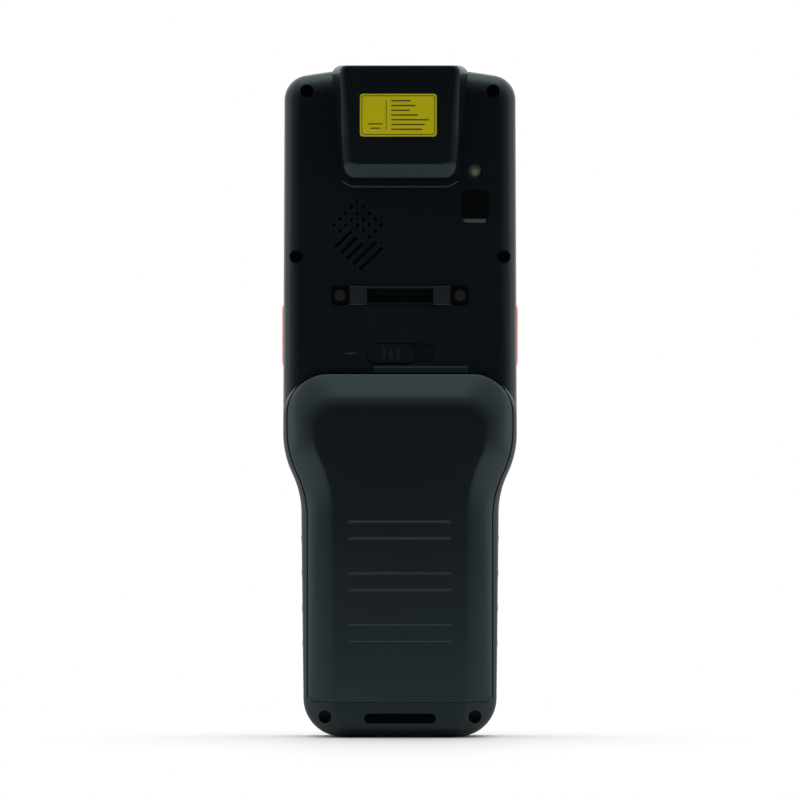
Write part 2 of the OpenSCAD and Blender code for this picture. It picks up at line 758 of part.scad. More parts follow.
module front_body() {
    loft(concat(
        [for (i = [0:EDGE_STEPS - 1]) let (a = 90 * i / (EDGE_STEPS - 1), in = front_edge_r * (1 - sin(a)))
            level(body_outline(in, in, in), face_y - front_edge_r + front_edge_r * cos(a))],
        [level(body_outline(0, 0, 0), parting_y)]));
}

module grip_pocket(g)
    along_y(grip_y0 - g, grip_y1 + g) grip_strip(g);

// Strip along the side of the grip, from the outer face inwards
module grip_strip(g) {
    z0 = ridge_z - 0.55 * ridge_pitch;
    z1 = ridge_z + (ridge_count - 0.45) * ridge_pitch;
    low = grip_side(z0);
    high = grip_side(z1);
    polygon([[low - grip_t - g, z0 - g], [low + g * 10, z0 - g], [high + g * 10, z1 + g],
        [high - grip_t - g, z1 + g]]);
}

// Half width of the straight side of the grip at height z
function grip_side(z) =
    grip_half_low + (grip_half_high - grip_half_low) * (z - foot_cz) / (waist_z0 - foot_cz);

module post_places()
    for (x = [-0.5, 0.5], z = [0.5, 2.5])
        translate([x * key_pitch_x, 0, key_row_z + z * key_pitch_z]) children();

module front_housing() color("#1c2126") {
    difference() {
        front_body();
        difference() {
            along_y(parting_y - 1, inner_face_y) polygon(body_outline(side_wall, side_wall, side_wall));
            both_sides() for (s = SCREWS) rod_y(s[0], s[1], boss_d - 0.4, parting_y - 2, inner_face_y + 1);
            post_places() rod_y(0, 0, post_d, keypad_y + seat_gap, inner_face_y + 1);
        }
        both_sides() for (s = SCREWS)
            rod_y(s[0], s[1], screw_d + screw_fit, parting_y - 1, screw_end_y + screw_end_gap);
        plate(0, window_z, 2 * (window_half + seat_gap), window_h + 2 * seat_gap, window_r,
            recess_y, face_y + 1);
        plate(0, window_z, 2 * (module_half + key_gap), module_l + 2 * key_gap, 0.5,
            inner_face_y - 1, face_y + 1);
        for (k = KEYS) plate(k[1], k[2], k[3] + 2 * key_gap, k[4] + 2 * key_gap, key_corner(k) + key_gap,
            inner_face_y - 1, face_y + 1);
        plate(0, ear_slot_z, earpiece_w - 2, 1.4, 0.7, inner_face_y - 1, face_y + 1);
        rod_y(lens_x, ear_slot_z, lens_d + 2 * seat_gap, inner_face_y - 1, face_y + 1);
        both_sides() grip_pocket(seat_gap);
        plate(0, 0, usb_w + 0.6, 4 * side_wall, 1, usb_y - usb_t / 2 - 0.3, usb_y + usb_t / 2 + 0.3);
        seal_groove();
    }
}

module housing_seal() color("#0d0f11")
    along_y(parting_y - seal_w / 2, parting_y + seal_w / 2) seal_ring(0);

module side_grip(side) color("#15181b") mirror([side, 0, 0]) {
    grip_pocket(0);
    bump_r = (pow(ridge_len / 2, 2) + pow(ridge_proud, 2)) / (2 * ridge_proud);
    for (i = [0:ridge_count - 1]) {
        z = ridge_z + i * ridge_pitch;
        intersection() {
            rod_y(grip_side(z) + ridge_proud - bump_r, z, 2 * bump_r, grip_y0 + 0.5, grip_y1 - 0.5);
            block([grip_side(z) - 0.3, grip_side(z) + 1], [grip_y0, grip_y1],
                [z - ridge_len, z + ridge_len]);
        }
    }
}

module screw(x, z, d, head_d, head_t, y_seat, y_end) {
    difference() {
        rod_y(x, z, head_d, y_seat - head_t, y_seat);
        plate(x, z, head_d * 0.62, head_d * 0.16, 0.1, y_seat - head_t - 1, y_seat - head_t / 2);
        plate(x, z, head_d * 0.16, head_d * 0.62, 0.1, y_seat - head_t - 1, y_seat - head_t / 2);
    }
    rod_y(x, z, d, y_seat - head_t / 2, y_end);
}

module housing_screws() color("#3a3d40")
    both_sides() for (s = SCREWS)
        screw(s[0], s[1], screw_d, screw_head_d, screw_head_t, seat_y, screw_end_y);

// ---- Strap bracket ---------------------------------------------------------------------------

module strap_bracket() color("#262b31") {
    tab_y = back_y + 1 - tab_t;
    pillar_x = strap_window_w / 2 + 5;
    difference() {
        plate(0, strap_z, strap_w, strap_h, 1.15, back_y - strap_rise, back_y + 1);
        plate(0, strap_z, strap_window_w, strap_window_h, 0.4, back_y - strap_rise - 1, back_y + 2);
        plate(0, strap_z, strap_window_w, strap_h + 1, 0.1, back_y - strap_rise - 1, back_y - 0.3);
        both_sides() plate((pillar_x + strap_w / 2) / 2, strap_z, strap_w / 2 - pillar_x - 0.6,
            strap_h - 0.9, 1,
            back_y - strap_rise - 1, tab_y);
        both_sides() rod_y(strap_screw_span / 2, strap_z, small_screw_d + screw_fit, back_y - 1,
            back_y + 2);
    }
}

module strap_bracket_screws() color("#53565a")
    both_sides() screw(strap_screw_span / 2, strap_z, small_screw_d, 3.2, 0.9, back_y + 1 - tab_t,
        inner_back_y + 2.6);

// ---- Scanner, camera, sound ------------------------------------------------------------------

module scan_engine() color("#2d2f31") {
    y0 = crest_y + hood_wall + seat_gap;
    z1 = hood_top - hood_wall - 1.5;
    difference() {
        block([-engine_w / 2, engine_w / 2], [y0, y0 + scan_d + 1], [z1 - engine_l, z1]);
        block([-engine_w / 2 + 1.5, 1], [y0 + 1.5, y0 + scan_d - 0.5], [z1 - 5, z1 + 1]);
        block([3, engine_w / 2 - 1.5], [y0 + 2.5, y0 + scan_d - 1.5], [z1 - 4, z1 + 1]);
    }
    block([-engine_w / 2 + 2, engine_w / 2 - 2], [y0 + scan_d + 1, y0 + scan_d + 2],
        [z1 - engine_l - 3, z1 - 1]);
}

module scan_window() color("#3a0d12")
    block([-scan_w / 2, scan_w / 2], [scan_y - scan_d / 2, scan_y + scan_d / 2],
        [hood_top - scan_t, hood_top - 0.2]);

module hood_label() color("#d8c818")
    plate(label_x, label_z, label_w, label_h, label_r, crest_y, crest_y + label_t);

module camera_window() color("#08090a")
    plate(camera_x, camera_z, camera_w + 1, camera_h + 1, 0.7, back_y + 0.9 + seat_gap, inner_back_y);

module camera_module() color("#1a1b1d") {
    y0 = inner_back_y + seat_gap;
    rod_y(camera_x, camera_z, camera_w - 2, y0, y0 + 1.5);
    block([camera_x - camera_w / 2, camera_x + camera_w / 2], [y0 + 1.5, y0 + 5],
        [camera_z - camera_h / 2, camera_z + camera_h / 2]);
}

module flash_lens() color("#e8e6dc") {
    rod_y(camera_x, flash_z, flash_d - 2 * seat_gap, back_y + 0.3, inner_back_y + 0.1);
    rod_y(camera_x, flash_z, flash_d + 1.2, inner_back_y + seat_gap, inner_back_y + 0.8);
}

module flash_led() color("#e6d98a") {
    block([camera_x - 1.5, camera_x + 1.5], [inner_back_y + 0.85, inner_back_y + 1.6],
        [flash_z - 1.5, flash_z + 1.5]);
    block([camera_x - 2.2, camera_x + 2.2], [inner_back_y + 1.6, inner_back_y + 2.2],
        [flash_z - 2.2, flash_z + 3.2]);
}

module speaker() color("#2a2c2e") {
    y0 = inner_back_y + mesh_t + 2 * seat_gap;
    difference() {
        rod_y(-speaker_x, speaker_z, speaker_d, y0, y0 + 3.2);
        rod_y(-speaker_x, speaker_z, speaker_d - 2.4, y0 - 1, y0 + 0.6);
    }
    rod_y(-speaker_x, speaker_z, speaker_d * 0.6, y0 + 3.2, y0 + 5);
}

module speaker_mesh() color("#101112")
    rod_y(-speaker_x, speaker_z, speaker_d, inner_back_y + seat_gap, inner_back_y + seat_gap + mesh_t);

module earpiece() color("#2a2c2e")
    plate(0, ear_slot_z, earpiece_w, 5, 1, inner_face_y - 3, inner_face_y - seat_gap);

module indicator_lens() color("#d8dde0") {
    rod_y(lens_x, ear_slot_z, lens_d, inner_face_y - seat_gap, face_y - 0.1);
    rod_y(lens_x, ear_slot_z, lens_d + 1.2, inner_face_y - 0.9, inner_face_y - seat_gap);
}

// ---- Boards and display ----------------------------------------------------------------------

module display_window() color("#0a0c0e")
    plate(0, window_z, 2 * window_half, window_h, window_r, recess_y + seal_t,
        recess_y + seal_t + window_t);

module display_seal() color("#1a1a1a") difference() {
    plate(0, window_z, 2 * window_half, window_h, window_r, recess_y, recess_y + seal_t);
    plate(0, window_z, 2 * module_half, module_l, 0.5, recess_y - 1, face_y);
}

module display_module() color("#20242c")
    plate(0, window_z, 2 * module_half, module_l, 0.5, module_y, recess_y);

module midframe() color("#8d9296") difference() {
    z0 = window_z0 + 0.8;
    z1 = window_z0 + window_h - 0.8;
    plate(0, (z0 + z1) / 2, 2 * deck_half, z1 - z0, 2, midframe_y, midframe_y + midframe_t);
    for (z = [z0 + 18, z1 - 22]) plate(0, z, deck_half, 9, 3, midframe_y - 1, face_y);
}

module main_board() color("#1f5a36") {
    z1 = corner_cz - 3;
    plate(0, (main_z0 + z1) / 2, 2 * deck_half, z1 - main_z0, 1.5, board_y, board_y + board_t);
}

module board_chips() color("#b4b8ba") {
    rear = [board_y - 1.6, board_y - seat_gap];
    front = [board_y + board_t + seat_gap, midframe_y - seat_gap];
    // Each shield can: side of the board, left end, lower end above the board's foot, width, height
    for (can = [[rear, -20, 18, 22, 22], [rear, 7, 46, 15, 18], [rear, -8, 70, 12, 12],
            [front, -18, 24, 18, 22], [front, 6, 56, 14, 20], [front, -22, 64, 14, 18]])
        block([can[1], can[1] + can[3]], can[0], [main_z0 + can[2], main_z0 + can[2] + can[4]]);
}

module keypad_board() color("#1f5a36")
    plate(0, pad_z, 2 * pad_half, pad_l, 1.5, keypad_board_y, keypad_board_y + board_t);

module dome_sheet() color("#c9ccc4") {
    plate(0, pad_z, 2 * pad_half, pad_l, 1.5, keypad_y - dome_t - 0.1, keypad_y - dome_t);
    for (k = KEYS) rod_y(k[1], k[2], 4.4, keypad_y - dome_t, dome_y);
}

module usb_port() color("#c0c3c5") difference() {
    plate(0, usb_depth / 2 + 1.65, usb_w, usb_depth + 1.7, 0.6, usb_y - usb_t / 2, usb_y + usb_t / 2);
    block([-usb_w / 2 + 0.4, usb_w / 2 - 0.4], [usb_y - usb_t / 2 + 0.4, usb_y - 0.4], [0, usb_depth]);
    block([-usb_w / 2 + 0.4, usb_w / 2 - 0.4], [usb_y + 0.4, usb_y + usb_t / 2 - 0.4], [0, usb_depth]);
}

module contact_block() color("#2a2c2e") difference() {
    block([-2.25 * contact_pitch, 2.25 * contact_pitch], [parting_y + seat_gap, board_y - seat_gap],
        [contact_z - pad_h / 2, contact_z + pad_h / 2]);
    for (i = contact_places)
        rod_y(i * contact_pitch, contact_z, contact_d + 0.1, parting_y - 1, parting_y + 2);
}

module contact_pins() color("#d4b04a")
    for (i = contact_places)
        rod_y(i * contact_pitch, contact_z, contact_d, tray_face_y + seat_gap, parting_y + 1.9);

module side_switches() color("#b4b8ba") both_sides() {
    block([side_switch_x - 2, side_switch_x], [side_key_y - 2, side_key_y + 2],
        [side_key_z - 3, side_key_z + 3]);
    block([side_switch_x - 2.4, side_switch_x - 2], [side_key_y - 2.6, side_key_y + 2.6],
        [side_key_z - 5.5, side_key_z + 5.5]);
}

// ---- Battery pack ----------------------------------------------------------------------------

module hollow_room() {
    along_y(crest_y - 1, pack_rim_y + 1) intersection() {
        polygon(pack_outline(cover_wall + 0.2));
        translate([-pack_half_high, hinge_z]) square([2 * pack_half_high, pack_top - hinge_z - cover_wall]);
    }
    rod_x(hinge_y, hinge_z, 2 * (knuckle_r - cover_wall), -knuckle_half + 1, knuckle_half - 1);
}

module battery_cover() color("#2a3138") {
    difference() {
        intersection() {
            bulge(0);
            pack_room(0, pack_rim_y);
        }
        intersection() {
            bulge(cover_wall);
            hollow_room();
        }
        block([-tray_half + 1.5, tray_half - 1.5], [hinge_y + 1.5, pack_rim_y + 1],
            [tray_z0 - 1, hinge_z + 3]);
        both_sides() ear_notch();
    }
    for (i = [0:2]) grip_ribs(grip_bar_z + i * grip_bar_pitch);
    both_sides() {
        for (x = [ear_x - ear_w / 2 - ear_gap - cheek_w, ear_x + ear_w / 2 + ear_gap])
            rod_x(hinge_y, hinge_z, 2 * (knuckle_r - 0.5), x, x + cheek_w);
        rod_x(hinge_y, hinge_z, pin_d, ear_x - ear_w / 2 - ear_gap - 0.5,
            ear_x + ear_w / 2 + ear_gap + 0.5);
    }
}

// Two low ribs across the back of the pack, above and below a grip bar
module grip_ribs(z)
    for (side = [-1, 1]) {
        rib_z = z + side * grip_bar_h / 2;
        y = crest_y + heel_drop * (1 - rib_z / (pack_top - bulge_run));
        rod_x(y + 0.2, rib_z, 0.8, -grip_bar_w / 2, grip_bar_w / 2);
    }

module ear_notch()
    block([ear_x - ear_w / 2 - ear_gap, ear_x + ear_w / 2 + ear_gap],
        [hinge_y - ear_r - 0.2, pack_rim_y + 1],
        [hinge_z - knuckle_r - 1, hinge_z + ear_r + 0.3]);

module battery_deck() color("#1d2227") difference() {
    along_y(pack_rim_y + seat_gap, ledge_y - 0.2) intersection() {
        polygon(pack_outline(flange_inset));
        translate([-pack_half_high, tray_z0 + 0.2]) square([2 * pack_half_high, pack_top - tray_z0]);
    }
    block([-tray_half - seat_gap, tray_half + seat_gap], [crest_y, parting_y],
        [tray_z0 - 1, tray_top + seat_gap]);
}

module battery_tray() color("#1d2227") difference() {
    block([-tray_half, tray_half], [pack_rim_y + seat_gap, tray_face_y], [tray_z0, tray_top]);
    block([-tray_half + tray_wall, tray_half - tray_wall], [pack_rim_y - 1, tray_face_y - tray_wall],
        [tray_z0 + tray_wall, tray_top - tray_wall]);
    contact_pads(seat_gap, tray_face_y - tray_wall - 1, tray_face_y + 1);
}

// Catch on top of the tray, which the latch finger moves in front of
module battery_catch() color("#8d9296") {
    z0 = tray_top + seat_gap;
    block([lug_x0, lug_x0 + finger_w], [lug_y0, lug_y0 + finger_t], [z0, tray_top + lug_h]);
    block([lug_x0 - 0.5, lug_x0 + finger_w + 2], [lug_y0, lug_y0 + finger_t + 1.5], [z0, z0 + 0.6]);
}

module battery_cells() color("#3f6f9f") {
    inner_y = tray_face_y - tray_wall - seat_gap;
    half = tray_half - tray_wall - 0.3;
    z1 = contact_z - 6;
    block([-half, half], [inner_y - cell_t, inner_y], [tray_z0 + tray_wall + 1.4, z1]);
    block([-half + 3.2, half - 3.2], [inner_y - 2 * cell_t - seat_gap, inner_y - cell_t - seat_gap],
        [hinge_z + knuckle_r + 0.4, z1]);
}

module battery_board() color("#1f5a36") {
    inner_y = tray_face_y - tray_wall - seat_gap;
    block([-tray_half + tray_wall + 1, tray_half - tray_wall - 1], [inner_y - 1, inner_y],
        [contact_z - 5, tray_top - tray_wall - 0.3]);
    block([-8, 8], [inner_y - 2.6, inner_y - 1], [contact_z - 2, contact_z + 3]);
}

module contact_pads(g, y0, y1)
    for (i = contact_places)
        plate(i * contact_pitch, contact_z, pad_w + 2 * g, pad_h + 2 * g, 0.3, y0, y1);

module battery_pads() color("#d4b04a")
    contact_pads(0, tray_face_y - tray_wall, tray_face_y);

// ---- Latch -----------------------------------------------------------------------------------

module latch_knob() color("#262c32") {
    x1 = knob_x0 + knob_w;
    y1 = back_y + track_depth - seat_gap;
    mid = (knob_x0 + x1) / 2;
    difference() {
        plate(mid, latch_z, knob_w, track_h - 0.3, (track_h - 0.3) / 2, back_y - 0.4, y1);
        for (i = [-1:1]) rod_z(mid + i * 2.2, back_y - 0.7, 1.2, latch_z - track_h / 4,
            latch_z + track_h / 4);
    }
    block([finger_x0 + 0.4, finger_x0 + finger_w - 0.4], [y1, inner_back_y + 0.1],
        [latch_z - 1.2, latch_z + 1.2]);
}

module rod_z(x, y, d, z0, z1)
    translate([x, y, z0]) cylinder(d = d, h = z1 - z0);

module latch_bolt() color("#8d9296") {
    z0 = latch_z - track_h / 2 + 0.3;
    z1 = latch_z + track_h / 2 - 0.3;
    block([finger_x0 - 2, finger_x0 + finger_w + 2], [inner_back_y + 0.1, finger_y0], [z0, z1]);
    block([finger_x0, finger_x0 + finger_w], [finger_y0, finger_y0 + finger_t], [tray_top + 0.8, z1]);
}

// ---- Keys ------------------------------------------------------------------------------------

function key_corner(k) = min(key_r, k[4] / 2 - 0.3);

module front_key(k) color(k[5]) {
    plate(k[1], k[2], k[3], k[4], key_corner(k), key_base_y, face_y + key_proud);
    plate(k[1], k[2], k[3] + 2 * key_lip, k[4] + 2 * key_lip, key_corner(k) + key_lip, key_base_y,
        inner_face_y - seat_gap);
    rod_y(k[1], k[2], 3, dome_y + key_travel + 0.05, key_base_y + 0.1);
}

module side_key(side) color("#e0641e") mirror([side, 0, 0]) {
    along_x(side_flange_x, side_key_x) side_key_outline(0);
    along_x(side_flange_x - side_flange_t, side_flange_x) side_key_outline(key_lip);
}

front_housing();
rear_housing();
housing_seal();
side_grip(1);  // side_grip_left
side_grip(0);  // side_grip_right
housing_screws();
strap_bracket();
strap_bracket_screws();
scan_engine();
scan_window();
hood_label();
camera_window();
camera_module();
flash_lens();
flash_led();
speaker();
speaker_mesh();
main_board();
board_chips();
keypad_board();
dome_sheet();
midframe();
display_window();
display_module();
display_seal();
earpiece();
indicator_lens();
usb_port();
contact_block();
contact_pins();
side_switches();
battery_cover();
battery_deck();
battery_tray();
battery_catch();
battery_cells();
battery_board();
battery_pads();
latch_knob();
latch_bolt();
side_key(1);  // side_key_left
side_key(0);  // side_key_right
for (k = KEYS) front_key(k);
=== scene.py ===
"""Handheld barcode data terminal: finished pieces, materials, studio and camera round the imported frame."""
import json
from math import atan, atan2, cos, degrees, pi, radians, sin, sqrt

import bmesh
import bpy
from mathutils import Matrix, Vector


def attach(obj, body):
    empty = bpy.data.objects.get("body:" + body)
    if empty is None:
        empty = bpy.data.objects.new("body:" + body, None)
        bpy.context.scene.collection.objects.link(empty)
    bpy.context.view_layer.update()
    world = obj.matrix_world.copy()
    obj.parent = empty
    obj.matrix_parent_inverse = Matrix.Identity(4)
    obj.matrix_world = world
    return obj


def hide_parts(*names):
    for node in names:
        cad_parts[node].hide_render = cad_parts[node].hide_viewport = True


bl_info = {
    "name": "Handheld Barcode Terminal",
    "version": (1, 0, 0),
    "blender": (4, 5, 0),
    "location": "View3D > Sidebar > Terminal",
    "description": "Finishes a handheld barcode terminal: shells, keys, label, materials, studio and camera",
    "category": "Add Mesh",
}

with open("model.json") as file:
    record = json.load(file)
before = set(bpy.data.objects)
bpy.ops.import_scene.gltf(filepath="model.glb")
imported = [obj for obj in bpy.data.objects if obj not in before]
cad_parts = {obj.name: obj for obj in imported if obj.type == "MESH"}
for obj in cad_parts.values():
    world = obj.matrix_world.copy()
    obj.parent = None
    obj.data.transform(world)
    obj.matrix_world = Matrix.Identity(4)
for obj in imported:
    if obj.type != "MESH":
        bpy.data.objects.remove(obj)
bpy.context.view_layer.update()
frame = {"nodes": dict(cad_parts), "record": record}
NODES = frame["nodes"]
MM = 0.001


# ---- Sizes of the frame, in millimetres

# Body: half widths are at the head's top, its bottom and along the grip; places are (x, z)
BODY_H, HALF_TOP, HALF_LOW, GRIP_HIGH, GRIP_LOW = 200.7, 34.65, 35.05, 29.6, 29.0
WAIST_Z = (67.0, 91.0)
CORNER_R, CROWN_R, FOOT_R, FOOT_FLAT, FOOT_RISE = 7.5, 167.0, 11.5, 11.0, 0.2
FACE_Y, PARTING_Y, BACK_Y, CREST_Y, EDGE_Y, SEAT_Y = 16.0, 5.0, -8.5, -17.0, -3.0, -1.5
INNER_BACK_Y, INNER_FACE_Y = -6.5, 13.5
WALL, BACK_EDGE_R, FRONT_EDGE_R = 2.0, 5.5, 2.8
SEAM, FIT, KEY_GAP = 0.25, 0.05, 0.2
CORNER_X = HALF_TOP - CORNER_R
CROWN_Z = BODY_H - CROWN_R
CORNER_Z = CROWN_Z + sqrt((CROWN_R - CORNER_R) ** 2 - CORNER_X ** 2)
CORNER_TURN = degrees(atan2(CORNER_Z - CROWN_Z, CORNER_X))
FOOT = (GRIP_LOW - FOOT_R, FOOT_R + FOOT_RISE)
# Hood with the scanner's window and the label, camera, speaker
HOOD_TOP, HOOD_LEN, HOOD_HALF, HOOD_LEAN, HOOD_TAPER, HOOD_WALL = 201.3, 33.6, 20.4, 4.1, 3.3, 1.8
HOOD_ROUND, HOOD_DRAFT, HOOD_CREASE, HOOD_SIDE_SHAPE, HOOD_END_SHAPE = 2.6, (0.25, 0.27), 0.38, 0.5, 0.72
HOOD_TOP_R, HOOD_END_RUN, HOOD_CHAMFER, HOOD_FLARE, APRON_DEPTH = 0.6, 4.2, 1.8, 0.47, 0.3
SCAN_W, SCAN_D = 27.0, 9.4
SCAN_Y = CREST_Y + HOOD_WALL + SCAN_D / 2 + 0.6
LABEL = (-0.5, HOOD_TOP - 14.9)
LABEL_W, LABEL_H, LABEL_R, LABEL_DEPTH = 23.0, 12.8, 0.9, 0.2
CAMERA = (22.5, 159.7)
CAMERA_W, CAMERA_H, FLASH_Z, FLASH_D = 8.1, 8.6, 169.7, 3.8
SPEAKER = (-12.7, 150.4)
SPEAKER_D, SOUND_PITCH, SOUND_D = 20.0, 2.5, 1.2
# Strap bracket and latch
STRAP_Z, STRAP_W, STRAP_H, STRAP_WINDOW_W, STRAP_WINDOW_H, STRAP_RISE = 132.4, 41.0, 5.7, 20.0, 4.2, 0.9
STRAP_SCREW_X, STRAP_HOLE_D, STRAP_BOSS_D = 18.0, 1.7, 4.2
POCKET_X, POCKET_W, POCKET_H = 17.95, 5.7, 5.9
LATCH = (0.4, 115.0)
TRACK_W, TRACK_H, TRACK_DEPTH, KNOB_W, KNOB_RIB_PITCH = 21.0, 6.2, 1.0, 14.5, 2.2
KNOB_X0 = LATCH[0] - (TRACK_W - 0.3) / 2
FINGER_X, FINGER_W, LATCH_TRAVEL = KNOB_X0 + 4, 4.0, 5.0
SLIDE_X = (FINGER_X - 0.3, FINGER_X + FINGER_W + LATCH_TRAVEL + 0.3)
LEDGE_X, DASH_X, DASH_W, DASH_H = (-7.8, 20.4), -14.8, 3.7, 0.7
# Hand grip, battery pack in it, pack's bay and hinge
PACK_TOP, PACK_CORNER_R, PACK_HIGH, PACK_LOW = 108.9, 12.0, HALF_LOW - 1.3, GRIP_HIGH - 1.9
BULGE_RUN, BULGE_SHAPE, BULGE_CORNER_R, BULGE_TOP, BULGE_Y = 9.6, 1.4, 13.0, PACK_TOP + SEAM, BACK_Y + 0.3
CREST_TOP = 100.3
SLOPE_START, SLOPE_END, SLOPE_RATE, SLOPE_BLEND, SLOPE_SOFT = 2.8, 7.4, 1.5, 4.4, 0.55
COVER_WALL, TRAY_WALL, TRAY_HALF, HEEL_DROP = 1.4, 1.2, 24.0, 2.2
PACK_RIM_Y, LEDGE_Y, BAY_FLOOR_Y = -6.4, -5.2, 3.8
TRAY_Z0, TRAY_TOP, BAY_Z0, BAY_TOP = 11.3, 105.0, 11.0, 108.0
HINGE_Z, KNUCKLE_R, PIN_D, EAR_X, EAR_W, EAR_R = 12.0, 3.57, 1.8, 13.5, 3.0, 1.85
KNUCKLE_ENDS = ((26.6, 1.0), (25.6, 1.17), (24.4, 1.7), (23, 2.35), (21.5, 3.0), (19.5, KNUCKLE_R))
HINGE_Y = CREST_Y + HEEL_DROP * (1 - HINGE_Z / CREST_TOP) + 3.4
HINGE, HEEL_Y = (HINGE_Y, HINGE_Z), HINGE_Y - 3.4
# Slot in the bottom end, lines across the pack
SLOT_W, SLOT_H, SLOT_Z, SLOT_DEPTH, SLOT_EXIT, SLOT_EXIT_HALF = 21.4, 3.0, 5.8, 7.0, 2.4, 9.2
GRIP_BARS, GRIP_BAR_W, GRIP_BAR_H = (31.2, 46.7, 62.2), 30.8, 5.0
# Housing screws, sides and front
SCREWS = ((CORNER_X + 0.75, CORNER_Z + 2.8), (31.15, 144.0), (FOOT[0] + 4.95, FOOT[1] - 5.4))
WELL_D, SCREW_HOLE_D, REAR_BOSS_D, FRONT_BOSS_D, SCREW_END_Y = 3.9, 2.1, 5.4, 5.0, 11.4
SIDE_KEY = (0.4, 120.3)
SIDE_KEY_W, SIDE_KEY_L, SIDE_KEY_R, SIDE_KEY_X = 6.4, 18.5, 2.8, 35.3
SIDE_FLANGE_X, SIDE_SWITCH_X = 32.68, 31.08
STRIP_Y, STRIP_W, STRIP_T = 9.5, 5.8, 0.9
RIDGE_Z, RIDGE_PITCH, RIDGE_HALF, RIDGE_PROUD = 27.9, 10.5, 2.3, 0.15
STRIP_Z0, STRIP_Z1 = RIDGE_Z - 0.55 * RIDGE_PITCH, RIDGE_Z + 3.55 * RIDGE_PITCH
WINDOW_HALF, WINDOW_Z0, WINDOW_H, WINDOW_R = 30.4, 92.6, 98.0, 3.0
RECESS_Y, MODULE_BORDER, EAR_SLOT_Z, EAR_SLOT_W, EAR_SLOT_H = 14.6, 3.0, 194.2, 13, 1.4
INDICATOR_X, INDICATOR_D = 12, 2.7
KEY_PITCH_X, KEY_PITCH_Z, KEY_ROW_Z, KEY_W, KEY_H, KEY_R = 16.5, 12.0, 18.5, 13.0, 8.4, 2.4
KEY_BASE_Y, KEY_LIP, DOME_Y, POST_Y, PLUNGER_D = 12.95, 0.8, 12.35, 11.95, 3
KEY_EDGE_Y, KEY_EDGE_R = 16.2, 0.55
KEY_CROWN = [(16.83, 0.9), (16.92, 1.5), (16.98, 2.1), (17.0, 2.6)]
USB_Y, USB_W, USB_T = 8.45, 9.0, 3.2
SCAN_ROW_Z, SOFT_Z = KEY_ROW_Z + 4.15 * KEY_PITCH_Z, KEY_ROW_Z + 5.3 * KEY_PITCH_Z

# Every front key: name, x, z, width, height, material slot, its print
KEYS = [(f"key_{name}", (1 - i % 3) * KEY_PITCH_X, KEY_ROW_Z + (3 - i // 3) * KEY_PITCH_Z, KEY_W, KEY_H,
         "key_dark", {"star": "*", "hash": "#"}.get(name, name))
        for i, name in enumerate(("1", "2", "3", "4", "5", "6", "7", "8", "9", "star", "0", "hash"))] + [
    ("key_escape", KEY_PITCH_X + 0.8, SCAN_ROW_Z, KEY_W - 2, KEY_H, "key_grey", "<"),
    ("key_scan", 0, SCAN_ROW_Z, KEY_W + 5, KEY_H + 1.4, "key_orange", ""),
    ("key_enter", -KEY_PITCH_X - 0.8, SCAN_ROW_Z, KEY_W - 2, KEY_H, "key_grey", ">"),
    ("key_soft_left", KEY_PITCH_X, SOFT_Z, KEY_W - 1, KEY_H - 2.4, "key_dark", "-"),
    ("key_power", 0, SOFT_Z, KEY_W - 3, KEY_H - 2.4, "key_red", ""),
    ("key_soft_right", -KEY_PITCH_X, SOFT_Z, KEY_W - 1, KEY_H - 2.4, "key_dark", "-")]


# ---- Small helpers

def only(obj):
    """Makes obj the one selected and active object."""
    bpy.ops.object.select_all(action="DESELECT")
    obj.select_set(True)
    bpy.context.view_layer.objects.active = obj


def modifier(obj, kind, name, **values):
    """Adds a modifier to obj and sets its values."""
    mod = obj.modifiers.new(name, kind)
    for key, value in values.items():
        setattr(mod, key, value)
    return mod


def apply_modifiers(obj):
    """Applies all modifiers of obj, from the first to the last."""
    only(obj)
    for mod in list(obj.modifiers):
        bpy.ops.object.modifier_apply(modifier=mod.name)


def link(tree, a, b):
    tree.links.new(a, b)


# ---- Outlines, in millimetres

def arc(centre, rx, rz, start, end, steps):
    """Points of an elliptical arc between two angles in degrees."""
    turns = [radians(start + (end - start) * i / steps) for i in range(steps + 1)]
    return [(centre[0] + rx * cos(a), centre[1] + rz * sin(a)) for a in turns]


def waist(low, high, z0, z1, inset, steps=14):
    """Two equal arcs that lead from one half width to a larger one, drawn in by inset."""
    turn = 2 * degrees(atan((high - low) / (z1 - z0)))
    r = (z1 - z0) / (2 * sin(radians(turn)))
    return (arc((low + r, z0), r + inset, r + inset, 180, 180 - turn, steps)
            + arc((high - r, z1), r - inset, r - inset, -turn, 0, steps)[1:])


def mirrored(half):
    return half + [(-x, z) for x, z in reversed(half)]


def grip_side(z):
    """Half width of the straight side of the grip."""
    return GRIP_LOW + (GRIP_HIGH - GRIP_LOW) * (z - FOOT[1]) / (WAIST_Z[0] - FOOT[1])


def foot_points(side, foot):
    return ([(FOOT_FLAT, foot)] + arc(FOOT, FOOT_R - side, FOOT_R - foot, -90, 0, 18)
            + [(grip_side(z) - side, z) for z in (12.6, 14, 17, 24, 40, 60)])


def body_outline(side, top=None, foot=None):
    """Outline of the body, drawn in by side, and by top and foot at its two ends."""
    top, foot = side if top is None else top, side if foot is None else foot
    return mirrored(
        foot_points(side, foot) + waist(GRIP_HIGH, HALF_LOW, *WAIST_Z, side)
        + arc((CORNER_X, CORNER_Z), CORNER_R - side, CORNER_R - top, 0, CORNER_TURN, 16)
        + arc((0, CROWN_Z), CROWN_R - top, CROWN_R - top, CORNER_TURN, 90, 7)[1:-1])


def bulge_outline(side, top, foot):
    corner = BULGE_CORNER_R + 0.48 * side
    return mirrored(
        foot_points(side, foot) + waist(GRIP_HIGH, HALF_LOW, *WAIST_Z, side)
        + arc((HALF_LOW - corner, BULGE_TOP - corner), corner - side, corner - top, 0, 90, 18))


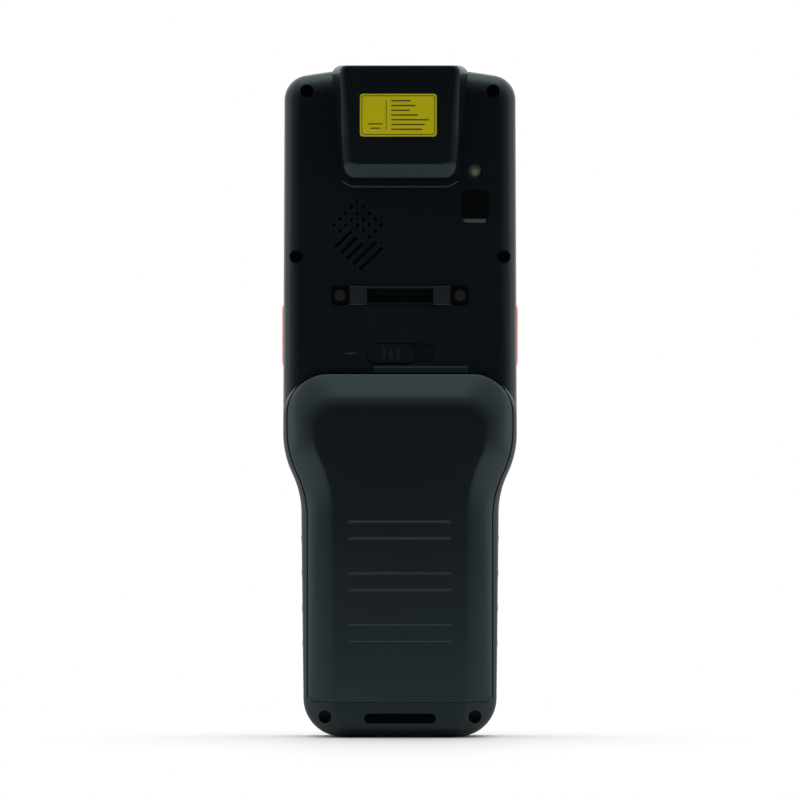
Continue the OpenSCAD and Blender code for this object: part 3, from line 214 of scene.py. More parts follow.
def pack_outline(inset):
    return mirrored(
        [(PACK_LOW - inset, HINGE_Z)] + waist(PACK_LOW, PACK_HIGH, WAIST_Z[0] - 1, WAIST_Z[1] + 1, inset)
        + arc((PACK_HIGH - PACK_CORNER_R, PACK_TOP - PACK_CORNER_R), PACK_CORNER_R - inset,
              PACK_CORNER_R - inset, 0, 90, 18))


def softened(points, reach=1.1, steps=4):
    """A closed outline with its corners rounded off."""
    result = []
    for i, corner in enumerate(points):
        b = Vector(corner)
        ends = [b + (Vector(other) - b) * min(reach / (Vector(other) - b).length, 0.45)
                for other in (points[i - 1], points[(i + 1) % len(points)])]
        result += [(ends[0].lerp(b, t / steps)).lerp(b.lerp(ends[1], t / steps), t / steps)
                   for t in range(steps + 1)]
    return result


def hood_outline(side, end, inset, drop=0.0):
    """Foot of the hood at 0 and its crest at 1, for its sides and for its lower end."""
    half = HOOD_HALF - HOOD_LEAN * side - inset
    low = HOOD_TOP - HOOD_LEN + HOOD_END_RUN * end + inset
    wall = min(side / HOOD_DRAFT[0], 1)
    top, chamfer = HOOD_TOP - inset - drop, HOOD_CHAMFER * (1 - wall / 2)
    flare = HOOD_LEAN * HOOD_FLARE * (1 - side) * wall
    return softened(mirrored([
        (half - HOOD_TAPER - 2.3 * (1 - side), low), (half - 2.6 + 0.3 * side, low + 2 - 0.8 * end),
        (half - 1.9, low + 10.8 - 4.2 * side), (half - flare, top - chamfer), (half - flare - chamfer, top)]))


def rounded(x, z, w, h, r, steps=7):
    """A rectangle with round corners, as a function of how far it is drawn in."""
    def outline(inset=0.0):
        round_r = max(r - inset, 0.02)
        corners = ((1, -1, -90), (1, 1, 0), (-1, 1, 90), (-1, -1, 180))
        return [point for sx, sz, a in corners for point in arc(
            (x + sx * (w / 2 - inset - round_r), z + sz * (h / 2 - inset - round_r)),
            round_r, round_r, a, a + 90, steps)]
    return outline


def disc(x, z, d, steps=48):
    return lambda inset=0.0: arc((x, z), d / 2 - inset, d / 2 - inset, 0, 360, steps)[:-1]


def level(outline, at, axis="Y"):
    """Points of an outline at one level along an axis, in metres."""
    place = {"X": lambda u, v: (at, u, v), "Y": lambda u, v: (u, at, v), "Z": lambda u, v: (u, v, at)}[axis]
    return [Vector(place(u, v)) * MM for u, v in outline]


# ---- Solids

def loft(name, rings):
    """A closed solid through rings of equal length: a disc that is extruded ring by ring."""
    count = len(rings[0])
    bpy.ops.object.select_all(action="DESELECT")
    bpy.ops.mesh.primitive_circle_add(vertices=count, radius=MM, fill_type="NGON")
    obj = bpy.context.object
    obj.name = obj.data.name = name
    bpy.ops.object.mode_set(mode="EDIT")
    edge_ring = list(range(count))
    for step, ring in enumerate(rings):
        if step:
            bpy.ops.mesh.extrude_region_move()
        mesh = bmesh.from_edit_mesh(obj.data)
        mesh.verts.ensure_lookup_table()
        if step:
            ends = {min(a, b): max(a, b) for a, b in ([v.index for v in e.verts] for e in mesh.edges)
                    if min(a, b) < step * count <= max(a, b)}
            edge_ring = [ends[i] for i in edge_ring]
        for index, point in zip(edge_ring, ring):
            mesh.verts[index].co = point
        bmesh.update_edit_mesh(obj.data)
    bpy.ops.mesh.select_all(action="SELECT")
    bpy.ops.mesh.normals_make_consistent(inside=False)
    bpy.ops.mesh.select_all(action="DESELECT")
    bpy.ops.mesh.select_mode(type="FACE")
    for face in bmesh.from_edit_mesh(obj.data).faces:
        face.select = len(face.verts) > 4
    bpy.ops.mesh.quads_convert_to_tris(quad_method="FIXED", ngon_method="CLIP")
    bpy.ops.object.mode_set(mode="OBJECT")
    return obj


def sweep(name, shape, profile, axis="Y"):
    """A solid along an axis; profile holds pairs of place and how far the shape is drawn in there."""
    return loft(name, [level(shape(inset), at, axis) for at, inset in profile])


def bar(name, shape, start, end, axis="Y"):
    return sweep(name, shape, ((start, 0), (end, 0)), axis)


def block(name, x, y, z):
    """A box between two places on each axis."""
    bpy.ops.object.select_all(action="DESELECT")
    middle = [(a + b) / 2 * MM for a, b in (x, y, z)]
    bpy.ops.mesh.primitive_cube_add(size=1, location=middle)
    obj = bpy.context.object
    obj.name = name
    obj.scale = [(b - a) * MM for a, b in (x, y, z)]
    bpy.ops.object.transform_apply()
    return obj


def well(name, shape, surface, bottom, lip=0.15, axis="Y"):
    """A cutter from over a surface down to bottom, that leaves a chamfered lip."""
    inward = 1 if bottom > surface else -1
    return sweep(name, shape, ((surface - inward, -lip), (surface, -lip), (surface + inward * lip, 0),
                               (bottom, 0)), axis)


def combine(obj, other, operation="DIFFERENCE"):
    """Cuts, joins or meets obj with another solid, which is used up."""
    mod = modifier(obj, "BOOLEAN", "combine", object=other, operation=operation, solver="MANIFOLD")
    only(obj)
    bpy.ops.object.modifier_apply(modifier=mod.name)
    bpy.data.objects.remove(other)
    if not obj.data.polygons:
        raise RuntimeError(f"nothing is left of {obj.name}")
    return obj


def cut(obj, *others):
    """Cuts obj with the other solids in turn."""
    for other in others:
        combine(obj, other)


def join(name, pieces):
    """One object of several that don't touch each other."""
    bpy.ops.object.select_all(action="DESELECT")
    for piece in pieces:
        piece.select_set(True)
    bpy.context.view_layer.objects.active = pieces[0]
    bpy.ops.object.join()
    pieces[0].name = pieces[0].data.name = name
    return pieces[0]


def both_sides(make):
    """Two solids in one object: make(1) and make(-1)."""
    return join("pair", [make(1), make(-1)])


def twin_rods(x, z, d, start, end, steps=48):
    """A round rod along Y on each side."""
    return both_sides(lambda s: bar("rod", disc(s * x, z, d, steps), start, end))


def twin_bars(shape, near, far):
    """A bar along X on each side, between two distances from the middle."""
    return both_sides(lambda s: bar("bar", shape, s * near, s * far, "X"))


def finish_piece(obj, body, slot, *nodes, angle=30, material=None):
    """Cleans and shades a solid, gives it its material, hangs it on its body's empty and hides the frame
    parts it stands in for.
    """
    only(obj)
    bpy.ops.object.mode_set(mode="EDIT")
    bpy.ops.mesh.select_all(action="SELECT")
    bpy.ops.mesh.remove_doubles(threshold=2e-6)
    bpy.ops.object.mode_set(mode="OBJECT")
    bpy.ops.object.shade_smooth_by_angle(angle=radians(angle))
    modifier(obj, "WEIGHTED_NORMAL", "even", keep_sharp=True, weight=60)
    apply_modifiers(obj)
    obj.data.materials.clear()
    obj.data.materials.append(finish_material(material or slot))
    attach(obj, body)
    if nodes:
        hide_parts(*nodes)
    return obj


# ---- Rear shell

def rear_body(name, inner=False):
    """Rear half of the body, or the room inside it."""
    wall = WALL if inner else 0
    edge = BACK_EDGE_R - WALL if inner else BACK_EDGE_R
    rings = [level(body_outline(wall), PARTING_Y + (1 if inner else 0))]
    for i in range(15):
        a = radians(90 * i / 14)
        run = (BACK_EDGE_R - wall) * (1 - cos(a))
        rings.append(level(body_outline(wall + run, wall + run * 1.2, wall + run * 1.2),
                           EDGE_Y - edge * sin(a)))
    return loft(name, rings)


def slope_in(rise):
    """How far the upper end of the hand grip is drawn in: an even slope that blends into the flat."""
    if rise < SLOPE_END:
        return SLOPE_RATE * max(rise - SLOPE_START, 0)
    left = (BULGE_Y - CREST_Y - rise) / (BULGE_Y - CREST_Y - SLOPE_END)
    return SLOPE_RATE * (SLOPE_END - SLOPE_START) + SLOPE_BLEND * (1 - max(left, 0) ** SLOPE_SOFT)


def bulge(name, skin=0.0):
    """The hand grip that the battery pack and the bottom end form together."""
    first = 0.05 + skin
    rings = [level(bulge_outline(first, first, first), y) for y in (EDGE_Y + 1, BULGE_Y)]
    span = BULGE_Y - CREST_Y - skin
    for i in range(1, 32):
        rise = sin(radians(min(3 * i, 90))) ** 1.3
        border = 0.4 if i == 31 else 0
        run = BULGE_RUN * (1 - (1 - rise ** BULGE_SHAPE) ** (1 / BULGE_SHAPE)) + 0.05 + border
        top_run = slope_in(rise * (BULGE_Y - CREST_Y)) + 0.05 + border
        outline = bulge_outline(run + skin, top_run + skin, run * 0.35 + skin)
        rings.append([Vector((x, BULGE_Y - rise * (span - HEEL_DROP * (1 - z / CREST_TOP)), z)) * MM
                      for x, z in outline])
    return loft(name, rings)


def hood_side(left):
    """Lean of the hood's sides: steep up to a crease, then a low rounding."""
    wall, crease = HOOD_DRAFT
    if left > HOOD_CREASE:
        return wall + (crease - wall) * (1 - left) / (1 - HOOD_CREASE)
    return 1 - (1 - crease) * (left / HOOD_CREASE) ** HOOD_SIDE_SHAPE


def hood(name, inset=0.0, top=HOOD_TOP):
    """The hood over the scanner: steep walls up to a rounding round its crest."""
    rings = [level(hood_outline(0, 0, inset), y) for y in (EDGE_Y + 1.5, BACK_Y)]
    for left in (1, 0.8, 0.6, HOOD_CREASE, 0.31, 0.24, 0.18, 0.12, 0.07, 0.03, 0.01, 0):
        height = left * HOOD_ROUND
        drop = HOOD_TOP_R - sqrt(HOOD_TOP_R ** 2 - max(HOOD_TOP_R - height, 0) ** 2)
        rings.append(level(hood_outline(hood_side(left), 1 - left ** HOOD_END_SHAPE, inset, drop),
                           CREST_Y + inset + height))
    obj = loft(name, rings)
    if top < HOOD_TOP - inset:
        combine(obj, block("over", (-30, 30), (-30, 10), (top, top + 10)))
    return obj


def knuckle(name, grow):
    """Round lower end of the battery pack."""
    stations = [(-x - grow, r + grow) for x, r in KNUCKLE_ENDS]
    stations += [(x + grow, r + grow) for x, r in reversed(KNUCKLE_ENDS)]
    return loft(name, [level(disc(*HINGE, 2 * r, 64)(), x, "X") for x, r in stations])


def pack_room(grow, depth):
    """The solids that make the room of the battery pack, one after the other."""
    yield bar("room", lambda inset: pack_outline(inset - grow), CREST_Y - 1, depth)
    yield knuckle("room", min(grow, 0.02))
    half = TRAY_HALF + grow
    yield block("room", (-half, half), (HINGE_Y, depth), (TRAY_Z0 - grow, HINGE_Z + 1))


def rear_cavity():
    """Room inside the rear shell, round the bay's tub, the bosses and the walls of what it holds."""
    tub = TRAY_HALF + SEAM + TRAY_WALL
    switch = SIDE_SWITCH_X - 3.7, SIDE_SWITCH_X - 2.5
    room = rear_body("rear_room", True)
    cut(room, block("tub", (-tub, tub), (CREST_Y, PARTING_Y + 2),
                    (BAY_Z0 - TRAY_WALL, PACK_TOP + SEAM + TRAY_WALL)),
        *[twin_rods(x, z, REAR_BOSS_D, CREST_Y, PARTING_Y + 2) for x, z in SCREWS],
        twin_rods(STRAP_SCREW_X, STRAP_Z, STRAP_BOSS_D, BACK_Y, INNER_BACK_Y + 3.5),
        bar("strap", rounded(0, STRAP_Z, STRAP_WINDOW_W + 3.2, STRAP_H + 2.2, 1), CREST_Y, BACK_Y + 6))
    for outer, inner, depth in (
            (disc(*SPEAKER, SPEAKER_D + 2.6, 72), disc(*SPEAKER, SPEAKER_D + 0.4, 72), INNER_BACK_Y + 3),
            (rounded(*CAMERA, CAMERA_W + 3.4, CAMERA_H + 3.4, 1),
             rounded(*CAMERA, CAMERA_W + 0.6, CAMERA_H + 0.6, 0.8), INNER_BACK_Y + 4)):
        ring = bar("ring", outer, CREST_Y, depth)
        cut(ring, bar("inside", inner, CREST_Y - 1, depth + 1))
        cut(room, ring)
    cut(room, both_sides(lambda s: block("rib", sorted(s * x for x in switch), (CREST_Y, SIDE_KEY[0] + 3),
                                         (SIDE_KEY[1] - 6, SIDE_KEY[1] + 6))), hood("hood"))
    return room


def sound_holes():
    """Rows of dots and slots that run down to the left, row by row to the right."""
    rows = ((0, 1, 2, 3, 4), (0, 1, 2, 3, 4), (0, 1, 2), (0, 1, 2), (0, 1, 2), (), ())
    slots = ((), (), (7.6, 14.5), (7.6, 14.5), (7.6, 14.5), (4.4, 14.3), (4.4, 14.3))
    turn = Matrix.Rotation(radians(-45), 2)
    top = Vector((SPEAKER[0], SPEAKER[1] + 10.2))

    def turned(shape):
        return lambda inset=0.0: [top + turn @ Vector(p) for p in shape(inset)]

    holes = []
    for v, (dots, slot) in enumerate(zip(rows, slots)):
        shapes = [disc(v * SOUND_PITCH, -u * SOUND_PITCH, SOUND_D, 16) for u in dots]
        if slot:
            shapes.append(rounded(v * SOUND_PITCH, -sum(slot) / 2, SOUND_D, slot[1] - slot[0], 0.3, 2))
        holes += [well("sound", turned(shape), BACK_Y, INNER_BACK_Y + 0.5, 0.12) for shape in shapes]
    return join("sound_holes", holes)


def raised_parts():
    """What stands on the rear half of the body."""
    foot = ((BACK_Y + 0.5, 0), (BACK_Y, 0))
    hood_end, pad_x, pad_z = HOOD_TOP - HOOD_LEN, CAMERA[0] + 0.7, CAMERA[1]
    yield sweep("apron", lambda inset: mirrored([
        (HOOD_HALF - 5.8, hood_end - 2.9 + inset), (HOOD_HALF - 3.1 - 0.5 * inset, hood_end - 1.4 + inset),
        (HOOD_HALF - 3.6, hood_end + 3)]), (*foot, (BACK_Y - APRON_DEPTH, 0.4)))
    yield bulge("bulge")
    yield hood("hood")
    yield sweep("pad", lambda inset: [(pad_x + x, pad_z + z) for x, z in (
        (4, -6.1), (6.4, -3.7), (6.4, 3.7 - inset), (4 - inset, 6.1), (-4, 6.1), (-6.4, 3.7), (-6.4, -3.7),
        (-4, -6.1))], (*foot, (BACK_Y - 0.25, 0.7)))
    ledge = ((BACK_Y + 0.5, 109), (BACK_Y + 0.5, 111.1), (BACK_Y, 111.1), (BACK_Y - 0.3, 110.75),
             (BACK_Y - 0.65, 109))
    yield loft("ledge", [level(ledge, x, "X") for x in LEDGE_X])
    yield sweep("dash", rounded(DASH_X, LATCH[1] + 0.1, DASH_W, DASH_H, 0.34, 4),
                (*foot, (BACK_Y - 0.15, 0.3)))


def scanner_room():
    """The room in the hood, and the window in its top end with its seat."""
    half_w, half_d = SCAN_W / 2, SCAN_D / 2
    yield hood("hood_room", HOOD_WALL, HOOD_TOP - 2 * HOOD_WALL)
    yield block("scan", (1 - half_w, half_w - 1), (SCAN_Y - half_d + 1, SCAN_Y + half_d - 1),
                (HOOD_TOP - 5, HOOD_TOP + 1))
    yield block("scan", (-half_w - FIT, half_w + FIT), (SCAN_Y - half_d - FIT, SCAN_Y + half_d + FIT),
                (HOOD_TOP - 1.2, HOOD_TOP + 1))


def pack_lip():
    """Relief under the lower end of the pack, which its flat passes as the pack swings open."""
    deep, proud = KNUCKLE_R - 0.7, KNUCKLE_R + 0.9
    points = [(HINGE_Y + r * cos(radians(a)), HINGE_Z + r * sin(radians(a)))
              for r, a in ((deep, 192), (proud, 192), (proud, 200), (deep, 206))]
    return bar("lip", lambda inset: points, -22.5, 22.5, "X")


def camera_holes():
    """Window opening with its seat and its sloping lip, and the hole of the flash."""
    x, z = CAMERA
    yield bar("camera", rounded(x, z, CAMERA_W, CAMERA_H, 0.8), BACK_Y - 1, INNER_BACK_Y + 1)
    yield bar("camera", rounded(x, z, CAMERA_W + 1.2, CAMERA_H + 1.2, 0.8), BACK_Y + 0.9, INNER_BACK_Y + 1)
    yield loft("camera", [
        level(rounded(x, z - out / 2, CAMERA_W + out * 0.5, CAMERA_H + out, 0.8 + out * 0.6)(), y)
        for out, y in ((1.3, BACK_Y - 0.5), (1.1, BACK_Y - 0.2), (0, BACK_Y + 0.8))])
    yield well("flash", disc(x, FLASH_Z, FLASH_D), BACK_Y, INNER_BACK_Y + 0.5, 0.2)


def lanyard_slot():
    """The slot in the bottom end and its way out through the bottom face."""
    deep = HEEL_Y + SLOT_DEPTH
    low, high = SLOT_Z - SLOT_H / 2, SLOT_Z + SLOT_H / 2
    slot = bar("lanyard", rounded(0, SLOT_Z, SLOT_W, SLOT_H, SLOT_H / 2 - 0.01, 12), CREST_Y - 1, deep + 0.6)
    slant = ((deep - 0.7, low - 1), (deep + 2, low - 1), (deep + 2, high + 1), (deep + 0.7, high + 1))
    yield combine(slot, loft("slant", [level(slant, x, "X") for x in (-SLOT_W, SLOT_W)]))
    yield block("lanyard", (-SLOT_EXIT_HALF, SLOT_EXIT_HALF), (deep - SLOT_EXIT, deep - 0.7), (-1, low + 0.5))


def seal_groove():
    """Groove of the housing seal, half of it in each shell."""
    groove = bar("groove", lambda inset: body_outline(0.65), PARTING_Y - 0.4, PARTING_Y + 0.4)
    return combine(groove, bar("inside", lambda inset: body_outline(1.45), PARTING_Y - 1, PARTING_Y + 1))


def hinge_ears():
    """Two eyes on arms that carry the pins of the battery pack."""
    sides = EAR_X - EAR_W / 2, EAR_X + EAR_W / 2
    turn = Matrix.Rotation(radians(-62), 2)
    arm = [turn @ Vector(p) for p in ((1.25, -0.3), (6.2, -0.3), (6.2, 1.7), (1.25, 1.7))]
    ears = twin_bars(disc(*HINGE, 2 * EAR_R, 40), *sides)
    combine(ears, twin_bars(lambda inset: [(HINGE_Y + p.x, HINGE_Z + p.y) for p in arm], *sides), "UNION")
    return combine(ears, bar("pin", disc(*HINGE, PIN_D + 0.1, 32), -30, 30, "X"))


def rear_shell():
    """Back of the housing, with the openings and wells of all that it holds."""
    shell = rear_body("rear_shell")
    for part in raised_parts():
        combine(shell, part, "UNION")
    cut(shell, rear_cavity(), *scanner_room(), *pack_room(SEAM, LEDGE_Y), pack_lip(),
        block("bay", (-TRAY_HALF - SEAM, TRAY_HALF + SEAM), (HINGE_Y, BAY_FLOOR_Y), (BAY_Z0, BAY_TOP)),
        join("contacts", [bar("contact", disc(i * 4, TRAY_TOP - 7, 1.5, 20), BAY_FLOOR_Y - 1, PARTING_Y + 1)
                          for i in (-1.5, -0.5, 0.5, 1.5)]),
        block("finger", SLIDE_X, (-4.7, -2.1), (BAY_TOP - 1, PACK_TOP + 6)),
        bar("label", rounded(*LABEL, LABEL_W + 0.1, LABEL_H + 0.1, LABEL_R + FIT), CREST_Y - 1,
            CREST_Y + LABEL_DEPTH),
        *camera_holes(), sound_holes(),
        well("strap", rounded(0, STRAP_Z, STRAP_W + 0.1, STRAP_H + 0.1, 1.2), BACK_Y, BACK_Y + 1, 0.12),
        bar("strap", rounded(0, STRAP_Z, STRAP_WINDOW_W + 1, STRAP_H, 0.8), BACK_Y - 1, BACK_Y + 4.9),
        twin_rods(STRAP_SCREW_X, STRAP_Z, STRAP_HOLE_D, BACK_Y, INNER_BACK_Y + 3, 24),
        well("track", rounded(*LATCH, TRACK_W, TRACK_H, TRACK_H / 2 - 0.01, 14), BACK_Y, BACK_Y + TRACK_DEPTH,
             0.1),
        block("slide", SLIDE_X, (BACK_Y, INNER_BACK_Y + 1), (LATCH[1] - 1.5, LATCH[1] + 1.5)))
    for x, z in SCREWS:
        cut(shell, twin_rods(x, z, WELL_D, CREST_Y - 1, SEAT_Y),
            twin_rods(x, z, SCREW_HOLE_D, SEAT_Y - 1, PARTING_Y + 1, 24))
    cut(shell, twin_bars(rounded(*SIDE_KEY, SIDE_KEY_W + 0.4, SIDE_KEY_L + 0.4, SIDE_KEY_R + 0.2),
                         SIDE_FLANGE_X - 0.25, 37), *lanyard_slot(), seal_groove())
    combine(shell, hinge_ears(), "UNION")
    return finish_piece(shell, "housing", "housing_plastic", "rear_housing")


# ---- Battery cover

def grip_line(at, rib_height):
    """One of the raised lines across the pack, steep below and sloping above."""
    y = CREST_Y + HEEL_DROP * (1 - at / CREST_TOP)
    crown = y - rib_height / MM
    outline = ((y + 0.3, at - 0.4), (y, at - 0.4), (crown, at - 0.15), (crown, at + 0.05), (y, at + 0.35),
               (y + 0.3, at + 0.35))
    return loft("line", [level(outline, x, "X") for x in (-GRIP_BAR_W / 2, GRIP_BAR_W / 2)])


def battery_cover(rib_height):
    """Hollow cover of the pack: the part of the hand grip that lies in the pack's room, with its pins."""
    cover = bulge("battery_cover_shell")
    region, *others = pack_room(-0.1, PACK_RIM_Y)
    for part in others:
        combine(region, part, "UNION")
    combine(cover, region, "INTERSECT")
    inner = bulge("inner", COVER_WALL)
    hollow = bar("hollow", lambda inset: pack_outline(COVER_WALL + 0.2), CREST_Y - 1, PACK_RIM_Y + 1)
    hollow_end = bar("hollow", disc(*HINGE, 2 * (KNUCKLE_R - COVER_WALL)), -19, 19, "X")
    combine(hollow, hollow_end, "UNION")
    combine(inner, hollow, "INTERSECT")
    near, far = EAR_X - EAR_W / 2 - 0.2, EAR_X + EAR_W / 2 + 0.2
    cut(cover, inner, block("tray", (1.5 - TRAY_HALF, TRAY_HALF - 1.5), (HINGE_Y + 1.5, PACK_RIM_Y + 1),
                            (TRAY_Z0 - 1, HINGE_Z + 3)),
        both_sides(lambda s: block("notch", sorted((s * near, s * far)), (
            HINGE_Y - EAR_R - 0.2, PACK_RIM_Y + 1), (HINGE_Z - KNUCKLE_R - 1, HINGE_Z + EAR_R + 0.3))))
    cheek = disc(*HINGE, 2 * KNUCKLE_R - 1)
    for part in (join("lines", [grip_line(z + side * GRIP_BAR_H / 2, rib_height) for z in GRIP_BARS
                                for side in (-1, 1)]),
                 twin_bars(cheek, near - 1.2, near), twin_bars(cheek, far, far + 1.2),
                 twin_bars(disc(*HINGE, PIN_D, 32), near - 0.5, far + 0.5)):
        combine(cover, part, "UNION")
    return finish_piece(cover, "battery_pack", "pack_plastic", "battery_cover")


# ---- Front shell

def front_shell():
    """Front of the housing, with the display's recess, the key holes and the beds of the side grips."""
    rings = []
    for i in range(11):
        a = radians(90 * i / 10)
        rings.append(level(body_outline(FRONT_EDGE_R * (1 - sin(a))),
                           FACE_Y - FRONT_EDGE_R + FRONT_EDGE_R * cos(a)))
    shell = loft("front_shell", rings + [level(body_outline(0), PARTING_Y)])
    room = bar("room", lambda inset: body_outline(WALL), PARTING_Y - 1, INNER_FACE_Y)
    cut(room, *[twin_rods(x, z, FRONT_BOSS_D, PARTING_Y - 2, INNER_FACE_Y + 1) for x, z in SCREWS],
        join("posts", [bar("post", disc(x * KEY_PITCH_X, KEY_ROW_Z + z * KEY_PITCH_Z, 1.6, 20), POST_Y,
                           INNER_FACE_Y + 1) for x in (-0.5, 0.5) for z in (0.5, 2.5)]))
    middle, border = WINDOW_Z0 + WINDOW_H / 2, 2 * (MODULE_BORDER - KEY_GAP)
    z0, z1, half = STRIP_Z0 - FIT, STRIP_Z1 + FIT, STRIP_W / 2 + FIT
    cut(shell, room, *[twin_rods(x, z, SCREW_HOLE_D, PARTING_Y - 1, SCREW_END_Y, 24) for x, z in SCREWS],
        well("window", rounded(0, middle, 2 * WINDOW_HALF + 0.1, WINDOW_H + 0.1, WINDOW_R), FACE_Y, RECESS_Y,
             0.2),
        bar("module", rounded(0, middle, 2 * WINDOW_HALF - border, WINDOW_H - border, 0.5), INNER_FACE_Y - 1,
            FACE_Y + 1),
        join("key_holes", [well("key_hole", rounded(x, z, w + 0.4, h + 0.4, min(KEY_R, h / 2 - 0.3) + 0.2),
                                FACE_Y, INNER_FACE_Y - 1, 0.2) for _, x, z, w, h, _, _ in KEYS]),
        well("ear", rounded(0, EAR_SLOT_Z, EAR_SLOT_W, EAR_SLOT_H, EAR_SLOT_H / 2 - 0.01), FACE_Y,
             INNER_FACE_Y - 1, 0.15),
        well("lens", disc(INDICATOR_X, EAR_SLOT_Z, INDICATOR_D, 32), FACE_Y, INNER_FACE_Y - 1, 0.1),
        both_sides(lambda s: bar("grip", lambda inset: (
            (s * (grip_side(z0) - STRIP_T - FIT), z0), (s * 40, z0), (s * 40, z1),
            (s * (grip_side(z1) - STRIP_T - FIT), z1)), STRIP_Y - half, STRIP_Y + half)),
        bar("usb", rounded(0, USB_Y, USB_W + 0.6, USB_T + 0.6, 1.2), -1, 4, "Z"), seal_groove())
    return finish_piece(shell, "housing", "front_plastic", "front_housing")


# ---- Bracket, latch, grips, label

def strap_bracket():
    """Bracket for a hand strap, with a pocket round each screw."""
    top = BACK_Y - STRAP_RISE
    bracket = sweep("strap_bracket_plate", rounded(0, STRAP_Z, STRAP_W, STRAP_H, 1.15), (
        (BACK_Y + 1, 0), (top + 0.3, 0), (top + 0.1, 0.06), (top, 0.25)))
    cut(bracket, well("window", rounded(0, STRAP_Z, STRAP_WINDOW_W, STRAP_WINDOW_H, 0.4), BACK_Y - 0.3,
                      BACK_Y + 2, 0.12),
        bar("span", rounded(0, STRAP_Z, STRAP_WINDOW_W, STRAP_H + 1, 0.1), top - 1, BACK_Y - 0.3))
    pocket = both_sides(lambda s: bar("pocket", rounded(s * POCKET_X, STRAP_Z, POCKET_W, POCKET_H, 0.4),
                                      top - 1, BACK_Y + 0.9))
    cut(pocket, twin_rods(STRAP_SCREW_X, STRAP_Z, 3, BACK_Y - 0.1, BACK_Y + 1))
    cut(bracket, pocket, twin_rods(STRAP_SCREW_X, STRAP_Z, STRAP_HOLE_D, BACK_Y - 1, BACK_Y + 2, 24))
    # the bracket takes a lighter copy of the housing plastic, painted light where the raised bracket catches
    # the light
    finish_piece(bracket, "housing", "housing_plastic", "strap_bracket", material="bracket_plastic")
    # adds the darker housing plastic and a near black, both used as painted shade
    for slot in ("housing_plastic", "pocket_black"):
        bracket.data.materials.append(finish_material(slot))
    for face in bracket.data.polygons:
        x, y, z = face.center / MM
        # faces deep in the screw pockets take the near black: painted shade
        if abs(x) > POCKET_X - POCKET_W / 2 - 0.05 and y > BACK_Y - 0.05:
            face.material_index = 2
        # faces under the window keep the darker housing plastic: painted shade on the lower bar
        elif abs(x) < STRAP_WINDOW_W / 2 and z < STRAP_Z - STRAP_WINDOW_H / 2:
            face.material_index = 1


def latch_knob():
    """Ribbed knob of the latch with the stem that goes through its slot."""
    top, base = BACK_Y - 0.15, BACK_Y + TRACK_DEPTH - FIT
    middle = KNOB_X0 + KNOB_W / 2
    shape = rounded(middle, LATCH[1], KNOB_W - 0.2, TRACK_H - 0.6, TRACK_H / 2 - 0.31, 14)
    knob = sweep("latch_knob_grip", shape, ((base, 0), (top + 0.06, 0), (top, 0.05)))
    cut(knob, join("ribs", [bar("rib", disc(middle + i * KNOB_RIB_PITCH, top - 0.3, 1.1, 20), LATCH[1] - 1.7,
                                LATCH[1] + 1.7, "Z") for i in (-1, 0, 1)]))
    combine(knob, block("stem", (FINGER_X + 0.4, FINGER_X + FINGER_W - 0.4), (base - 0.2, INNER_BACK_Y + 0.1),
                        (LATCH[1] - 1.2, LATCH[1] + 1.2)), "UNION")
    return finish_piece(knob, "latch", "housing_plastic", "latch_knob")


def side_grip(side, name):
    """Ridged rubber strip, ring by ring along its length."""
    rings = []
    steps = 120
    for i in range(steps + 1):
        z = STRIP_Z0 + (STRIP_Z1 - STRIP_Z0) * i / steps
        ridge = abs((z - RIDGE_Z + RIDGE_PITCH / 2) % RIDGE_PITCH - RIDGE_PITCH / 2)
        outer = grip_side(z) + RIDGE_PROUD * (0.5 + 0.5 * cos(pi * min(ridge / RIDGE_HALF, 1)))
        inner = grip_side(z) - STRIP_T
        outline = rounded((inner + outer) / 2, STRIP_Y, outer - inner, STRIP_W, 0.25, 3)()
        rings.append([Vector((side * x, y, z)) * MM for x, y in outline])
    return finish_piece(loft(f"{name}_strip", rings), "housing", "grip_rubber", name)


def side_key(side, name):
    """Scan key on one side, held in by a flange."""
    profile = ((SIDE_FLANGE_X - 1, -KEY_LIP), (SIDE_FLANGE_X, -KEY_LIP), (SIDE_FLANGE_X, 0), (34.75, 0),
               (35.0, 0.12), (35.15, 0.4), (35.24, 0.9), (SIDE_KEY_X, 1.7))
    key = sweep(f"{name}_cap", rounded(*SIDE_KEY, SIDE_KEY_W, SIDE_KEY_L, SIDE_KEY_R, 10),
                [(side * x, inset) for x, inset in profile], "X")
    return finish_piece(key, name, "key_orange", name, angle=40)


def front_key(name, x, z, w, h, slot):
    """A key with a soft edge and a low crown."""
    shape = rounded(x, z, w, h, min(KEY_R, h / 2 - 0.3), 9)
    lip_y = INNER_FACE_Y - FIT
    turns = [radians(a) for a in (20, 40, 60, 78)]
    edge = [(KEY_EDGE_Y + KEY_EDGE_R * sin(a), KEY_EDGE_R * (1 - cos(a))) for a in turns]
    base = [(KEY_BASE_Y, -KEY_LIP), (lip_y, -KEY_LIP), (lip_y, 0), (KEY_EDGE_Y, 0)]
    key = sweep(f"{name}_cap", shape, base + edge + KEY_CROWN)
    combine(key, bar("plunger", disc(x, z, PLUNGER_D, 24), DOME_Y + 0.55, KEY_BASE_Y + 0.1), "UNION")
    return finish_piece(key, name, slot, name, angle=50)


def key_print(name, x, z, mark, size):
    """The plain number or sign on a key."""
    bpy.ops.object.select_all(action="DESELECT")
    bpy.ops.object.text_add()
    text = bpy.context.object
    text.data.body = mark
    text.data.align_x, text.data.align_y = "CENTER", "CENTER"
    text.data.size = size * MM
    text.data.extrude = 0.06 * MM
    bpy.ops.object.convert(target="MESH")
    text = bpy.context.object
    text.name = text.data.name = f"{name}_print"
    text.rotation_euler = (radians(90), 0, radians(180))
    text.location = Vector((x, KEY_CROWN[-1][0] - FIT, z)) * MM
    bpy.ops.object.transform_apply()
    text.data.materials.clear()
    text.data.materials.append(finish_material("print_white"))
    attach(text, name)
    return text


